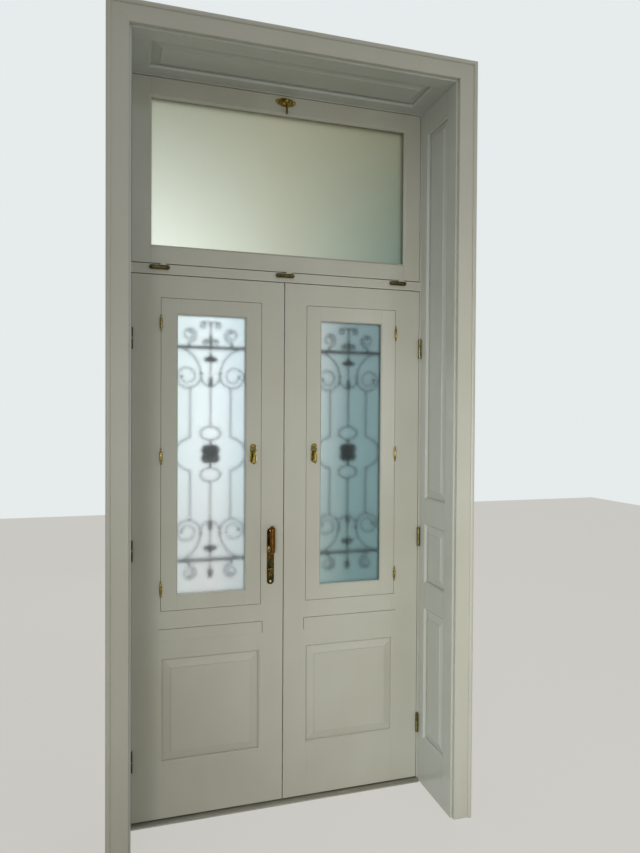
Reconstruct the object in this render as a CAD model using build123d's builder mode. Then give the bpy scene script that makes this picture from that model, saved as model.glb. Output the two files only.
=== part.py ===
from build123d import *
import os

# A pair of panelled french doors with their deep panelled reveal, architrave and fanlight.
# Millimetres. X runs along the wall, +Y runs out through the doorway, +Z is up.
# Y = 0 is the room side of the leaves, X = 0 their meeting line and Z = 0 the floor.

# Floor and leaves
threshold_t = 8.0
threshold_nose = 30.0
threshold_bevel = (3.2, 7.2)
foot_gap = 4.0
leaf_w = 636.0
leaf_h = 2250.0
leaf_t = 45.0
meeting_gap = 4.0
edge_gap = 3.0
head_gap = 3.0
meeting_stile_w = 108.0
hinge_stile_w = 126.0
bottom_rail_h = 238.0
panel_h = 420.0
lock_rail_h = 215.0
top_rail_h = 102.0
apron_rise = 80.0
apron_h = 51.0
apron_t = 9.0
apron_sink = 0.3
apron_gap = 1.8
apron_overrun = 8.0

# Frame, transom bar and stops
jamb_show = 6.0
jamb_w = 60.0
frame_d = 80.0
stop_w = 14.0
stop_gap = 1.0
transom_h = 41.0
fixing_r = 4.0
fixing_y = 38.0
fixing_low = 160.0
fixing_pitch = 900.0
fixing_count = 4

# Reveal and architrave
reveal_d = 320.0
reveal_t = 24.0
reveal_back_stile = 62.0
reveal_front_stile = 78.0
reveal_foot_rail = 221.0
reveal_panel_heights = (589.0, 257.0, 1640.0)
reveal_mid_rail = 126.0
head_panel_margin = 78.0
quirk = 8.0
architrave_w = 80.0
architrave_t = 18.0
architrave_ease = 2.0
bead_w = 17.0
bead_t = 25.0

# Raised panels and mouldings
mould = 7.0
groove_depth = 8.0
groove_t = 8.0
groove_back = 13.0
field_sink = 1.0
field_step = 2.5
bevel_w = 34.0
panel_play = 1.0
leaf_groove_back = 12.0
panel_rear_rise = 14.0

# Casements
lip = 10.0
casement_gap = 1.5
casement_edge_bevel = 1.4
casement_t = 36.0
casement_seat = 0.5
casement_stile = 67.5
casement_rail = 65.5
casement_chamfer = 5.0

# Fanlight
sash_gap = 3.0
sash_h = 754.0
sash_stile = 78.0
sash_top_rail = 80.0
sash_bottom_rail = 76.0
sash_chamfer = 9.0

# Glass and its beads
shoulder = 16.0
glass_t = 4.0
glass_rebate = 12.0
glass_play = 2.0

# Leaf hinges
hinge_r = 7.0
hinge_ease = 0.8
hinge_washer_r = 5.4
hinge_half = 44.0
hinge_y = -8.0
hinge_up = 257.0
hinge_down = 264.0
flap_t = 2.4
flap_h = 40.0
flap_clear = 1.0
flap_depth = 30.0
pin_r = 3.5
pin_length = 26.0
knuckle_gap = 3.0
washer_t = 2.7
pin_fit = 0.05

# Casement hinges
olive_r = 5.5
olive_body = 24.0
olive_neck_r = 2.2
olive_ball_r = 3.6
olive_washer_r = 4.4
olive_half = 34.0
olive_y = -6.0
olive_up = 92.5
olive_down = 103.5
olive_flap_t = 1.6
olive_flap_h = 20.0
olive_flap_clear = 1.0
olive_flap_depth = 24.0
olive_pin_r = 2.0
olive_pin_length = 20.0
flap_recess_fit = 0.1

# Fanlight hinges
sash_hinge_r = 7.5
sash_hinge_body = 33.0
sash_hinge_neck_r = 2.4
sash_hinge_ball_r = 3.6
sash_washer_r = 5.8
sash_hinge_half = 41.0
sash_hinge_y = -9.0
sash_hinge_drop = 17.0
sash_hinge_inset = 110.0
sash_flap_t = 2.0
sash_flap_w = 28.0
sash_flap_clear = 1.0
sash_pin_r = 3.0
sash_pin_length = 24.0

# Casement and fanlight latches
latch_plate_w = 29.0
latch_plate_h = 84.0
latch_plate_t = 2.5
latch_plate_ease = 1.0
latch_inset = 34.5
latch_rise = 18.0
latch_plate_drop = 16.0
latch_boss_r = 8.0
latch_knob_r = 7.6
latch_grip_r = 5.6
latch_waist_r = 2.8
latch_tip_r = 5.6
latch_grip_sink = 1.0
latch_standoff = 20.0
latch_lever = 60.0
spindle_r = 4.0
spindle_fit = 0.4
blade_t = 6.0
blade_w = 10.0
blade_reach = 45.0
blade_y = 17.0
blade_fit = 0.6
sash_plate_w = 89.0
sash_plate_h = 40.0
sash_latch_drop = 26.0
sash_blade_reach = 37.0

# Handle set and mortise lock, on the left leaf
handle_inset = 56.0
plate_w = 32.0
plate_below = 154.0
plate_above = 91.0
plate_t = 3.0
plate_ease = 1.2
lever_height = 1100.0
lock_centres = 92.0
neck_r = 9.0
neck_fit = 0.3
neck_room = 1.0
lever_standoff = 44.0
lever_length = 92.0
lever_bend_r = 7.0
lever_return = 17.6
lever_return_rise = 4.0
lever_rx = 9.9
lever_ry = 6.8
spindle_side = 8.0
lock_t = 16.0
lock_depth = 82.0
lock_below = 142.0
lock_above = 48.0
lock_wall = 1.5
lock_y = 22.5
faceplate_t = 3.0
screw_r = 2.0
screw_head_r = 4.2
screw_length = 14.0
screw_inset = 13.0
screw_fit = 0.1
faceplate_w = 20.0
bolt_t = 12.0
bolt_length = 46.0
bolt_nose = 7.2
latch_bolt_h = 18.0
dead_bolt_h = 30.0
bolt_fit = 0.5
latch_throw = 14.0
dead_throw = 18.0
strike_t = 2.5
strike_margin = 22.0
cylinder_r = 8.5
cylinder_lobe = 10.0
cylinder_drop = 24.0
cylinder_fit = 0.2
cylinder_stand = 3.0
turn_w = 26.0
turn_h = 16.0
turn_t = 9.6
turn_stem_r = 5.0
turn_stem = 6.0
turn_ease = 2.0

# Flush bolts, in the meeting edge of the right leaf
flush_r = 4.5
flush_length = 200.0
flush_x = 14.0
flush_fit = 0.5
flush_throw = 14.0
foot_throw = 10.0
flush_plate_t = 2.5
flush_plate_w = 16.0
flush_knob_r = 3.0
flush_knob_room = 20.0
flush_knob_clear = 0.3

# Wrought-iron grille
iron_t = 12.0
iron_w = 7.0
rail_iron_w = 14.0
grille_rise = 1.5
grille_half = 452.0
grille_lap = 18.0
volute_x = 95.0
volute_v = 334.0
volute_r = 54.0
volute_shrink = 0.86
volute_quarters = 8
arm_run = 42.0
upright_x = 86.0
bow_x = 150.0
bow_v = 70.0
bow_shoulder = (132.0, 45.0)
loop_v = 88.0
loop_rx = 46.0
loop_ry = 32.0
petals = 4
petal_r = 21.0
petal_out = 25.0
rosette_t = 18.0
rosette_stem_w = 10.0
rosette_boss = 4.0
rosette_boss_r = 11.0
small_volute_x = 92.0
small_volute_r = 31.0
small_volute_drop = 52.0
small_volute_quarters = 6
collar_w = 14.0
collar_rise = 8.0
cup_v = 286.0
knot_v = 306.0
knot_rx = 12.0
knot_ry = 25.0
cap_v = 402.0
cap_rx = 31.0
cap_ry = 12.0
baluster_w = 17.0
baluster_h = 110.0
drop_v = 60.0
drop_rx = 12.5
drop_ry = 22.0

# Places worked out from the sizes above
leaf_foot = threshold_t + foot_gap
leaf_in = meeting_gap / 2
leaf_out = leaf_in + leaf_w
leaf_top = leaf_foot + leaf_h
jamb_in = leaf_out + edge_gap
reveal_x = jamb_in + jamb_show
stop_y = leaf_t + stop_gap
transom_low = leaf_top + head_gap
transom_top = transom_low + transom_h
sash_low = transom_top + sash_gap
sash_top = sash_low + sash_h
head_low = sash_top + sash_gap
reveal_z = head_low + jamb_show
panel_in = leaf_in + meeting_stile_w
panel_out = leaf_out - hinge_stile_w
panel_low = leaf_foot + bottom_rail_h
panel_top = panel_low + panel_h
light_low = panel_top + lock_rail_h
light_top = leaf_top - top_rail_h
grille_mid = (light_low + light_top) / 2 + grille_rise
casement_in = panel_in - lip + casement_gap
casement_out = panel_out + lip - casement_gap
casement_low = light_low - lip + casement_gap
casement_top = light_top + lip - casement_gap
hinge_low, hinge_high = leaf_foot + hinge_up, leaf_top - hinge_down
hinge_heights = (hinge_low, (hinge_low + hinge_high) / 2, hinge_high)
olive_low, olive_high = casement_low + olive_up, casement_top - olive_down
olive_heights = (olive_low, (olive_low + olive_high) / 2, olive_high)
latch_z = (casement_low + casement_top) / 2 + latch_rise
latch_x = casement_in + latch_inset
hinge_x = leaf_out + edge_gap / 2
olive_x = casement_out + casement_gap / 2
handle_x = -(leaf_in + handle_inset)
room_face = Plane.XZ
reveal_face = Plane(origin=(reveal_x, 0, 0), x_dir=(0, -1, 0), z_dir=(-1, 0, 0))
soffit_face = Plane(origin=(0, 0, reveal_z), x_dir=(1, 0, 0), z_dir=(0, 0, -1))
architrave_in = reveal_x + quirk
architrave_low = reveal_z + quirk
latch_bolt_z = leaf_foot + lever_height
dead_bolt_z = latch_bolt_z - lock_centres

os.makedirs("parts", exist_ok=True)


def keep(piece, name):
    """Labels a finished piece and writes its file."""
    piece.label = name
    export_step(piece, f"parts/{name}.step")


def keep_pair(piece, name):
    """Keeps a piece made for the right side, and its mirror image for the left."""
    keep(piece, f"right_{name}")
    keep(mirror(piece, about=Plane.YZ), f"left_{name}")


def bar(x, y, z, mode=Mode.ADD):
    """A square-edged bar between two X, two Y and two Z values."""
    with Locations(((x[0] + x[1]) / 2, (y[0] + y[1]) / 2, (z[0] + z[1]) / 2)):
        Box(abs(x[1] - x[0]), abs(y[1] - y[0]), abs(z[1] - z[0]), mode=mode)


def rod(centre, radius, length, direction, mode=Mode.ADD):
    """A round rod that starts at a point and runs in a direction."""
    with Locations(Plane(origin=centre, z_dir=direction)):
        Cylinder(radius, length, align=(Align.CENTER, Align.CENTER, Align.MIN), mode=mode)


def pane_sketch(low, high, mode=Mode.ADD):
    """A rectangle between two corners of the sketch plane."""
    with Locations(((low[0] + high[0]) / 2, (low[1] + high[1]) / 2)):
        Rectangle(high[0] - low[0], high[1] - low[1], mode=mode)


def grown(opening, by):
    """The corners of an opening, moved outwards."""
    (x0, y0), (x1, y1) = opening
    return (x0 - by, y0 - by), (x1 + by, y1 + by)


def board(plane, low, high, openings, thickness):
    """A flat board with its face on a plane and its openings cut through."""
    with BuildPart() as blank:
        with BuildSketch(plane):
            pane_sketch(low, high)
            for opening in openings:
                pane_sketch(*opening, mode=Mode.SUBTRACT)
        extrude(amount=-thickness)
    return blank.part


def sunk(plane, corners, depth, thickness):
    """A slab behind a plane, from a depth to a depth and a thickness."""
    with BuildPart() as slab:
        with BuildSketch(plane.offset(-depth)):
            pane_sketch(*corners)
        extrude(amount=-thickness)
    return slab.part


def splayed(plane, opening, depth, spread):
    """The wedge-sided cutter that moulds the front arris of an opening."""
    with BuildPart() as cutter:
        with BuildSketch(plane):
            pane_sketch(*grown(opening, spread))
        with BuildSketch(plane.offset(-depth)):
            pane_sketch(*opening)
        loft()
    return cutter.part


def raised_panel(plane, opening, back, rear_rise=0):
    """A raised and fielded panel whose tongue fills the groove round an opening."""
    tongue = grown(opening, groove_depth - panel_play)
    field = grown(opening, -bevel_w)
    with BuildPart() as panel:
        with BuildSketch(plane.offset(-back)):
            pane_sketch(*tongue)
        extrude(amount=-groove_t)
        with BuildSketch(plane.offset(-back)):
            pane_sketch(*opening)
        with BuildSketch(plane.offset(-field_sink - field_step)):
            pane_sketch(*field)
        loft()
        with BuildSketch(plane.offset(-field_sink - field_step)):
            pane_sketch(*field)
        extrude(amount=field_step)
        if rear_rise:
            with BuildSketch(plane.offset(-back - groove_t)):
                pane_sketch(*opening)
            with BuildSketch(plane.offset(-back - groove_t - rear_rise)):
                pane_sketch(*field)
            loft()
    return panel.part


def cut_apart(piece, planes):
    """The separate pieces that some planes part a framework into."""
    with BuildPart() as parted:
        add(piece)
        for plane in planes:
            split(bisect_by=plane, keep=Keep.BOTH)
    return parted.part.solids()


def barrel(radius, ease, length):
    """Half of a plain hinge barrel, standing on its joint, with its end arris eased."""
    with BuildPart() as half:
        rod((0, 0, 0), radius, length, (0, 0, 1))
        chamfer(half.edges().sort_by(Axis.Z)[-1], length=ease)
    return half.part


def finial(radius, body, neck_r, ball_r, length):
    """Half of a turned hinge barrel, standing on its joint, with a neck and a ball at its end."""
    ball_z = length - ball_r
    with BuildPart() as half:
        with BuildSketch(Plane.XZ):
            with BuildLine():
                Polyline((neck_r, body), (neck_r, ball_z), (0, ball_z), (0, 0), (radius, 0))
                Bezier((radius, 0), (radius, body), (neck_r, body))
            make_face()
        revolve(axis=Axis.Z)
        with Locations((0, 0, ball_z)):
            Sphere(ball_r)
    return half.part


def grip(start_r, waist_r, tip_r, length):
    """A turned lever that narrows to a waist and swells to a round tip, standing on its start."""
    tip_z = length - tip_r
    with BuildPart() as turned:
        with BuildSketch(Plane.XZ):
            with BuildLine():
                Polyline((tip_r, tip_z), (0, tip_z), (0, 0), (start_r, 0))
                Bezier((start_r, 0), (waist_r, tip_z / 2), (tip_r, tip_z))
            make_face()
        revolve(axis=Axis.Z)
        with Locations((0, 0, tip_z)):
            Sphere(tip_r)
    return turned.part


def hinge_halves(lower, upper, washer_r, pin, pin_reach):
    """The pin half, pointing down, and the socket half, pointing up, of one hinge."""
    hanging = mirror(lower, about=Plane.XY)
    with BuildPart() as pin_half:
        add(hanging)
        rod((0, 0, 0), washer_r, washer_t, (0, 0, 1))
        rod((0, 0, -pin), pin, pin_reach + pin, (0, 0, 1))
    with BuildPart() as socket_half:
        with Locations((0, 0, knuckle_gap)):
            add(upper)
        rod((0, 0, 0), pin + pin_fit, pin_reach + knuckle_gap, (0, 0, 1), mode=Mode.SUBTRACT)
    return pin_half.part, socket_half.part


def swept(reach, distance):
    """How far a turning blade's path runs along a face at a distance from its spindle."""
    return ((reach + blade_fit) ** 2 - distance**2) ** 0.5


# Threshold
with BuildPart() as threshold:
    bar((-jamb_in, jamb_in), (-threshold_nose, stop_y), (0, threshold_t))
    bar((-(jamb_in - stop_w), jamb_in - stop_w), (stop_y, frame_d), (0, threshold_t))
    nose = threshold.edges().filter_by(Axis.X).group_by(Axis.Y)[0].sort_by(Axis.Z)[-1]
    chamfer(nose, length=threshold_bevel[0], length2=threshold_bevel[1])
    rod((flush_x, leaf_t / 2, 0), flush_r + flush_fit, threshold_t, (0, 0, 1), mode=Mode.SUBTRACT)
keep(threshold.part, "threshold")


# Frame jambs, with the stop that the leaves and the fanlight close against
door_flaps = [(z, z - flap_h) for z in hinge_heights]
with BuildPart() as jamb:
    bar((jamb_in, jamb_in + jamb_w), (0, frame_d), (0, head_low))
    bar((jamb_in - stop_w, jamb_in), (stop_y, frame_d), (0, head_low))
    for step in range(fixing_count):
        fixing = (jamb_in, fixing_y, fixing_low + step * fixing_pitch)
        rod(fixing, fixing_r, jamb_w, (1, 0, 0), mode=Mode.SUBTRACT)
    for high, low in door_flaps:
        bar(
            (jamb_in, jamb_in + flap_t + flap_recess_fit),
            (0, flap_depth + flap_recess_fit),
            (low, high),
            mode=Mode.SUBTRACT,
        )
keep_pair(jamb.part, "jamb")

keeper_run = swept(sash_blade_reach, sash_latch_drop + sash_gap)
with BuildPart() as frame_head:
    bar((-jamb_in - jamb_w, jamb_in + jamb_w), (0, frame_d), (head_low, head_low + jamb_w))
    bar((-jamb_in + stop_w, jamb_in - stop_w), (stop_y, frame_d), (head_low - stop_w, head_low))
    bar(
        (-keeper_run, blade_w / 2 + blade_fit),
        (blade_y - blade_t / 2 - blade_fit, blade_y + blade_t / 2 + blade_fit),
        (head_low, sash_top - sash_latch_drop + sash_blade_reach + blade_fit),
        mode=Mode.SUBTRACT,
    )
keep(frame_head.part, "frame_head")

with BuildPart() as transom_bar:
    bar((-jamb_in, jamb_in), (0, stop_y), (transom_low, transom_top))
    bar(
        (-jamb_in + stop_w, jamb_in - stop_w),
        (stop_y, frame_d),
        (transom_low - stop_w, transom_top + stop_w),
    )
    rod(
        (flush_x, leaf_t / 2, transom_low),
        flush_r + flush_fit,
        flush_throw,
        (0, 0, 1),
        mode=Mode.SUBTRACT,
    )
keep(transom_bar.part, "transom_bar")


# Reveal framing and its raised panels
def reveal(plane, low, high, openings):
    """The stiles and rails of a panelled reveal, and the panels in it."""
    blank = board(plane, low, high, openings, reveal_t)
    mouldings = [splayed(plane, opening, mould, mould) for opening in openings]
    grooves = [
        sunk(plane, grown(opening, groove_depth), groove_back, groove_t) for opening in openings
    ]
    with BuildPart() as framing:
        add(blank)
        add(mouldings, mode=Mode.SUBTRACT)
        add(grooves, mode=Mode.SUBTRACT)
    cuts = [Plane.XZ.offset(reveal_back_stile), Plane.XZ.offset(reveal_d - reveal_front_stile)]
    panels = [raised_panel(plane, opening, groove_back) for opening in openings]
    return cut_apart(framing.part, cuts), panels


side_openings = []
foot = reveal_foot_rail
for height in reveal_panel_heights:
    side_openings.append(
        ((reveal_back_stile, foot), (reveal_d - reveal_front_stile, foot + height))
    )
    foot += height + reveal_mid_rail
side_framing, side_panels = reveal(
    reveal_face, (0, 0), (reveal_d, reveal_z + reveal_t), side_openings
)
keep_pair(Compound(children=side_framing), "reveal_frame")

head_opening = (
    (-reveal_x + head_panel_margin, reveal_back_stile),
    (reveal_x - head_panel_margin, reveal_d - reveal_front_stile),
)
head_framing, head_panels = reveal(
    soffit_face, (-reveal_x, 0), (reveal_x, reveal_d), [head_opening]
)
keep(Compound(children=head_framing), "head_reveal_frame")
far_panels = [mirror(panel, about=Plane.YZ) for panel in side_panels]
keep(Compound(children=[*side_panels, *far_panels, *head_panels]), "reveal_panels")


# Architrave: a flat board with an eased inner edge and a round bead along its outer edge
bead_in = architrave_w - bead_w
bead_spring = bead_t - bead_w / 4
with BuildSketch() as architrave_section:
    with BuildLine():
        Polyline(
            (architrave_w, bead_spring),
            (architrave_w, 0),
            (0, 0),
            (0, architrave_t - architrave_ease),
            (architrave_ease, architrave_t),
            (bead_in, architrave_t),
            (bead_in, bead_spring),
        )
        ThreePointArc(
            (bead_in, bead_spring),
            ((bead_in + architrave_w) / 2, bead_t),
            (architrave_w, bead_spring),
        )
    make_face()

mitre = Plane(origin=(architrave_in, 0, architrave_low), z_dir=(-1, 0, 1))
foot_plane = Plane(origin=(architrave_in, -reveal_d, 0), x_dir=(1, 0, 0), z_dir=(0, 0, -1))
middle_plane = Plane(origin=(0, -reveal_d, architrave_low), x_dir=(0, 0, 1), z_dir=(1, 0, 0))
with BuildPart() as architrave_leg:
    with BuildSketch(foot_plane):
        add(architrave_section.sketch)
    extrude(amount=-(architrave_low + architrave_w))
    split(bisect_by=mitre, keep=Keep.BOTTOM)
keep_pair(architrave_leg.part, "architrave")

with BuildPart() as architrave_head:
    with BuildSketch(middle_plane):
        add(architrave_section.sketch)
    extrude(amount=architrave_in + architrave_w)
    split(bisect_by=mitre, keep=Keep.TOP)
    mirror(about=Plane.YZ)
keep(architrave_head.part, "architrave_head")


# Leaf framing, made for the right leaf and mirrored for the left
panel_opening = ((panel_in, panel_low), (panel_out, panel_top))
light_opening = ((panel_in, light_low), (panel_out, light_top))
apron = (
    (panel_in - lip - apron_overrun, panel_top + apron_rise),
    (panel_out + lip + apron_overrun, panel_top + apron_rise + apron_h),
)
keeper_drop = swept(blade_reach, latch_inset + casement_gap)
leaf_board = board(
    room_face, (leaf_in, leaf_foot), (leaf_out, leaf_top), [panel_opening, light_opening], leaf_t
)
leaf_cuts = [
    splayed(room_face, panel_opening, mould, mould),
    sunk(room_face, grown(panel_opening, groove_depth), leaf_groove_back, groove_t),
    sunk(room_face, grown(light_opening, lip), 0, casement_t + casement_seat),
    sunk(room_face, apron, 0, apron_t + apron_sink),
]
with BuildPart() as leaf_blank:
    add(leaf_board)
    add(leaf_cuts, mode=Mode.SUBTRACT)
    for z in hinge_heights:
        bar(
            (leaf_out - flap_t - flap_recess_fit, leaf_out),
            (0, flap_depth + flap_recess_fit),
            (z, z + flap_h),
            mode=Mode.SUBTRACT,
        )
    for z in olive_heights:
        bar(
            (panel_out + lip, panel_out + lip + olive_flap_t + flap_recess_fit),
            (0, olive_flap_depth + flap_recess_fit),
            (z - olive_flap_h, z),
            mode=Mode.SUBTRACT,
        )
    bar(
        (latch_x - blade_reach - blade_fit, panel_in),
        (blade_y - blade_t / 2 - blade_fit, blade_y + blade_t / 2 + blade_fit),
        (latch_z - keeper_drop, latch_z + blade_w / 2 + blade_fit),
        mode=Mode.SUBTRACT,
    )
leaf_pieces = cut_apart(leaf_blank.part, [Plane.YZ.offset(panel_in), Plane.YZ.offset(panel_out)])
by_place = ShapeList(leaf_pieces).sort_by(Axis.X)
meeting_stile, hinge_stile = by_place[0], by_place[-1]
apron_fit = (
    (apron[0][0] + apron_gap, apron[0][1]),
    (apron[1][0], apron[1][1] - apron_gap),
)
apron_strip = sunk(room_face, apron_fit, apron_sink, apron_t)
keep_pair(hinge_stile, "leaf_hinge_stile")
keep_pair(Compound(children=[*by_place[1:-1], apron_strip]), "leaf_rails")
keep_pair(raised_panel(room_face, panel_opening, leaf_groove_back, panel_rear_rise), "leaf_panel")

# Places of the handle set's screws and of the lock's bolts
plate_z = (latch_bolt_z - plate_below, latch_bolt_z + plate_above)
screw_places = [
    (z, face, way)
    for z in (plate_z[0] + screw_inset, plate_z[1] - screw_inset)
    for face, way in ((0, -1), (leaf_t, 1))
]
bolt_y = (lock_y - bolt_t / 2, lock_y + bolt_t / 2)
face_y = (lock_y - faceplate_w / 2, lock_y + faceplate_w / 2)
lock_z = (latch_bolt_z - lock_below, latch_bolt_z + lock_above)
face_z = (lock_z[0] - strike_margin, lock_z[1] + strike_margin)
bolts = (
    (latch_bolt_z, latch_bolt_h, latch_throw),
    (dead_bolt_z, dead_bolt_h, dead_throw),
)


def bolt_room(x, z, height):
    """Cuts the room that a lock bolt needs between two X values."""
    bar(
        x,
        (bolt_y[0] - bolt_fit, bolt_y[1] + bolt_fit),
        (z - height / 2 - bolt_fit, z + height / 2 + bolt_fit),
        mode=Mode.SUBTRACT,
    )


def cylinder_form(play, y):
    """The round and lobed outline of the lock cylinder, between two Y values."""
    r = cylinder_r + play
    with BuildPart() as form:
        rod((handle_x, y[0], dead_bolt_z), r, y[1] - y[0], (0, 1, 0))
        bar(
            (handle_x - cylinder_lobe / 2 - play, handle_x + cylinder_lobe / 2 + play),
            y,
            (dead_bolt_z - cylinder_drop - play, dead_bolt_z),
        )
    return form.part


def screw_form(place, play=0):
    """A countersunk wood screw whose head is flush with the handle plate's outer face."""
    z, face, way = place
    start = Plane(origin=(handle_x, face + way * plate_t, z), z_dir=(0, -way, 0))
    with BuildPart() as form:
        with Locations(start):
            Cone(
                screw_head_r + play,
                screw_r + play,
                screw_head_r - screw_r,
                align=(Align.CENTER, Align.CENTER, Align.MIN),
            )
        rod(start.origin, screw_r + play, screw_length, start.z_dir)
    return form.part


screws = [screw_form(place) for place in screw_places]
screw_holes = [screw_form(place, screw_fit) for place in screw_places]
cylinder_hole = cylinder_form(cylinder_fit, (-plate_t, leaf_t + plate_t))
left_blank = mirror(meeting_stile, about=Plane.YZ)
with BuildPart() as left_meeting_stile:
    add(left_blank)
    bar(
        (-leaf_in - faceplate_t - lock_depth, -leaf_in),
        (lock_y - lock_t / 2, lock_y + lock_t / 2),
        lock_z,
        mode=Mode.SUBTRACT,
    )
    bar((-leaf_in - faceplate_t, -leaf_in), face_y, face_z, mode=Mode.SUBTRACT)
    rod((handle_x, 0, latch_bolt_z), neck_r + neck_room, leaf_t, (0, 1, 0), mode=Mode.SUBTRACT)
    add([cylinder_hole, *screw_holes], mode=Mode.SUBTRACT)
keep(left_meeting_stile.part, "left_leaf_meeting_stile")

# The flush bolts' channels run up and down from the ends of the right meeting stile
flush_y = leaf_t / 2
flush_ends = ((leaf_top, 1, flush_throw), (leaf_foot, -1, foot_throw))
with BuildPart() as right_meeting_stile:
    add(meeting_stile)
    bar((leaf_in, leaf_in + strike_t), face_y, face_z, mode=Mode.SUBTRACT)
    for z, height, throw in bolts:
        bolt_room((leaf_in, leaf_in + throw), z, height)
    for end, way, throw in flush_ends:
        bar(
            (leaf_in + flush_plate_t, flush_x),
            (flush_y - flush_r - flush_fit, flush_y + flush_r + flush_fit),
            (end, end - way * (flush_length + throw)),
            mode=Mode.SUBTRACT,
        )
        rod(
            (flush_x, flush_y, end),
            flush_r + flush_fit,
            flush_length + throw,
            (0, 0, -way),
            mode=Mode.SUBTRACT,
        )
        bar(
            (leaf_in, leaf_in + flush_plate_t),
            (flush_y - flush_plate_w / 2, flush_y + flush_plate_w / 2),
            (end, end - way * (flush_length + flush_knob_room)),
            mode=Mode.SUBTRACT,
        )
keep(right_meeting_stile.part, "right_leaf_meeting_stile")


# Casements: framing, glass and beads
def glazed(plane, low, high, stile, rails, thickness, chamfer_w):
    """The framing blank of a glazed sash with its opening, its pane and its bead ring."""
    opening = ((low[0] + stile, low[1] + rails[0]), (high[0] - stile, high[1] - rails[1]))
    blank = board(plane, low, high, [opening], thickness)
    chamfered = splayed(plane, opening, chamfer_w, chamfer_w)
    rebate = sunk(plane, grown(opening, glass_rebate), shoulder, thickness - shoulder)
    with BuildPart() as framing:
        add(blank)
        add([chamfered, rebate], mode=Mode.SUBTRACT)
    pane = sunk(plane, grown(opening, glass_rebate - glass_play), shoulder, glass_t)
    bead = board(
        plane.offset(-shoulder - glass_t),
        *grown(opening, glass_rebate),
        [opening],
        thickness - shoulder - glass_t,
    )
    return framing.part, opening, pane, bead


casement_framing, casement_light, casement_pane, casement_bead = glazed(
    room_face,
    (casement_in, casement_low),
    (casement_out, casement_top),
    casement_stile,
    (casement_rail, casement_rail),
    casement_t,
    casement_chamfer,
)
with BuildPart() as casement_blank:
    add(casement_framing)
    with BuildSketch(Plane.XY.offset(casement_low)):
        with BuildLine():
            Polyline(
                (casement_in, 0),
                (casement_in, casement_t),
                (casement_in + casement_edge_bevel, casement_t),
                close=True,
            )
        make_face()
    extrude(amount=casement_top - casement_low, mode=Mode.SUBTRACT)
    for z in olive_heights:
        bar(
            (casement_out - olive_flap_t - flap_recess_fit, casement_out),
            (0, olive_flap_depth + flap_recess_fit),
            (z, z + olive_flap_h),
            mode=Mode.SUBTRACT,
        )
    rod((latch_x, 0, latch_z), spindle_r + spindle_fit, blade_y, (0, 1, 0), mode=Mode.SUBTRACT)
    bar(
        (casement_in, latch_x + blade_w / 2 + blade_fit),
        (blade_y - blade_t / 2 - blade_fit, blade_y + blade_t / 2 + blade_fit),
        (latch_z - blade_reach - blade_fit, latch_z + blade_w / 2 + blade_fit),
        mode=Mode.SUBTRACT,
    )
casement_cuts = [Plane.YZ.offset(casement_light[0][0]), Plane.YZ.offset(casement_light[1][0])]
keep_pair(Compound(children=cut_apart(casement_blank.part, casement_cuts)), "casement_frame")
keep_pair(Compound(children=cut_apart(casement_bead, casement_cuts)), "casement_beads")
keep_pair(casement_pane, "casement_pane")


# Turn latches: a plate, and a handle whose spindle carries a blade
def latch_plate(outline, spindle, hole):
    """A flat plate on the room side, with a round hole for the spindle."""
    with BuildPart() as plate:
        with BuildSketch(Plane.XZ.offset(latch_plate_t)):
            with Locations(spindle):
                add(outline)
                Circle(hole, mode=Mode.SUBTRACT)
        extrude(amount=-latch_plate_t)
        rim = plate.faces().sort_by(Axis.Y)[0].outer_wire().edges()
        chamfer(rim, length=latch_plate_ease)
    return plate.part


def latch_handle(centre, blade, reach):
    """A turned lever hanging from its boss, its spindle, and the blade behind the face."""
    x, z = centre
    hanging = mirror(
        grip(latch_grip_r, latch_waist_r, latch_tip_r, latch_lever), about=Plane.XY
    )
    with BuildPart() as handle:
        rod((x, blade_y, z), spindle_r, blade_y + latch_plate_t, (0, -1, 0))
        rod((x, -latch_plate_t, z), latch_boss_r, latch_standoff, (0, -1, 0))
        with Locations((x, latch_grip_sink - latch_plate_t - latch_standoff, z)):
            add(hanging)
            Sphere(latch_knob_r)
        with Locations((x + blade[0] * reach / 2, blade_y, z + blade[1] * reach / 2)):
            Box(
                max(abs(blade[0]) * reach, blade_w),
                blade_t,
                max(abs(blade[1]) * reach, blade_w),
            )
        rod((x, blade_y - blade_t / 2, z), blade_w / 2, blade_t, (0, 1, 0))
    return handle.part


with BuildSketch() as long_outline:
    with Locations((0, -latch_plate_drop)):
        SlotOverall(latch_plate_h, latch_plate_w, rotation=90)
with BuildSketch() as oval_outline:
    Ellipse(sash_plate_w / 2, sash_plate_h / 2)
keep_pair(
    latch_plate(long_outline.sketch, (latch_x, latch_z), spindle_r + spindle_fit),
    "casement_latch_plate",
)
keep_pair(latch_handle((latch_x, latch_z), (0, -1), blade_reach), "casement_latch_handle")


# Fanlight
sash_side = jamb_in - sash_gap
sash_latch_z = sash_top - sash_latch_drop
sash_framing, sash_light, sash_pane, sash_bead = glazed(
    room_face,
    (-sash_side, sash_low),
    (sash_side, sash_top),
    sash_stile,
    (sash_bottom_rail, sash_top_rail),
    leaf_t,
    sash_chamfer,
)
sash_hinge_z = sash_low - sash_hinge_drop
with BuildPart() as sash_blank:
    add(sash_framing)
    rod((0, 0, sash_latch_z), spindle_r + spindle_fit, blade_y, (0, 1, 0), mode=Mode.SUBTRACT)
    bar(
        (-sash_blade_reach - blade_fit, blade_w / 2 + blade_fit),
        (blade_y - blade_t / 2 - blade_fit, blade_y + blade_t / 2 + blade_fit),
        (sash_latch_z - blade_w / 2 - blade_fit, sash_top),
        mode=Mode.SUBTRACT,
    )
sash_cuts = [Plane.YZ.offset(sash_light[0][0]), Plane.YZ.offset(sash_light[1][0])]
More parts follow.
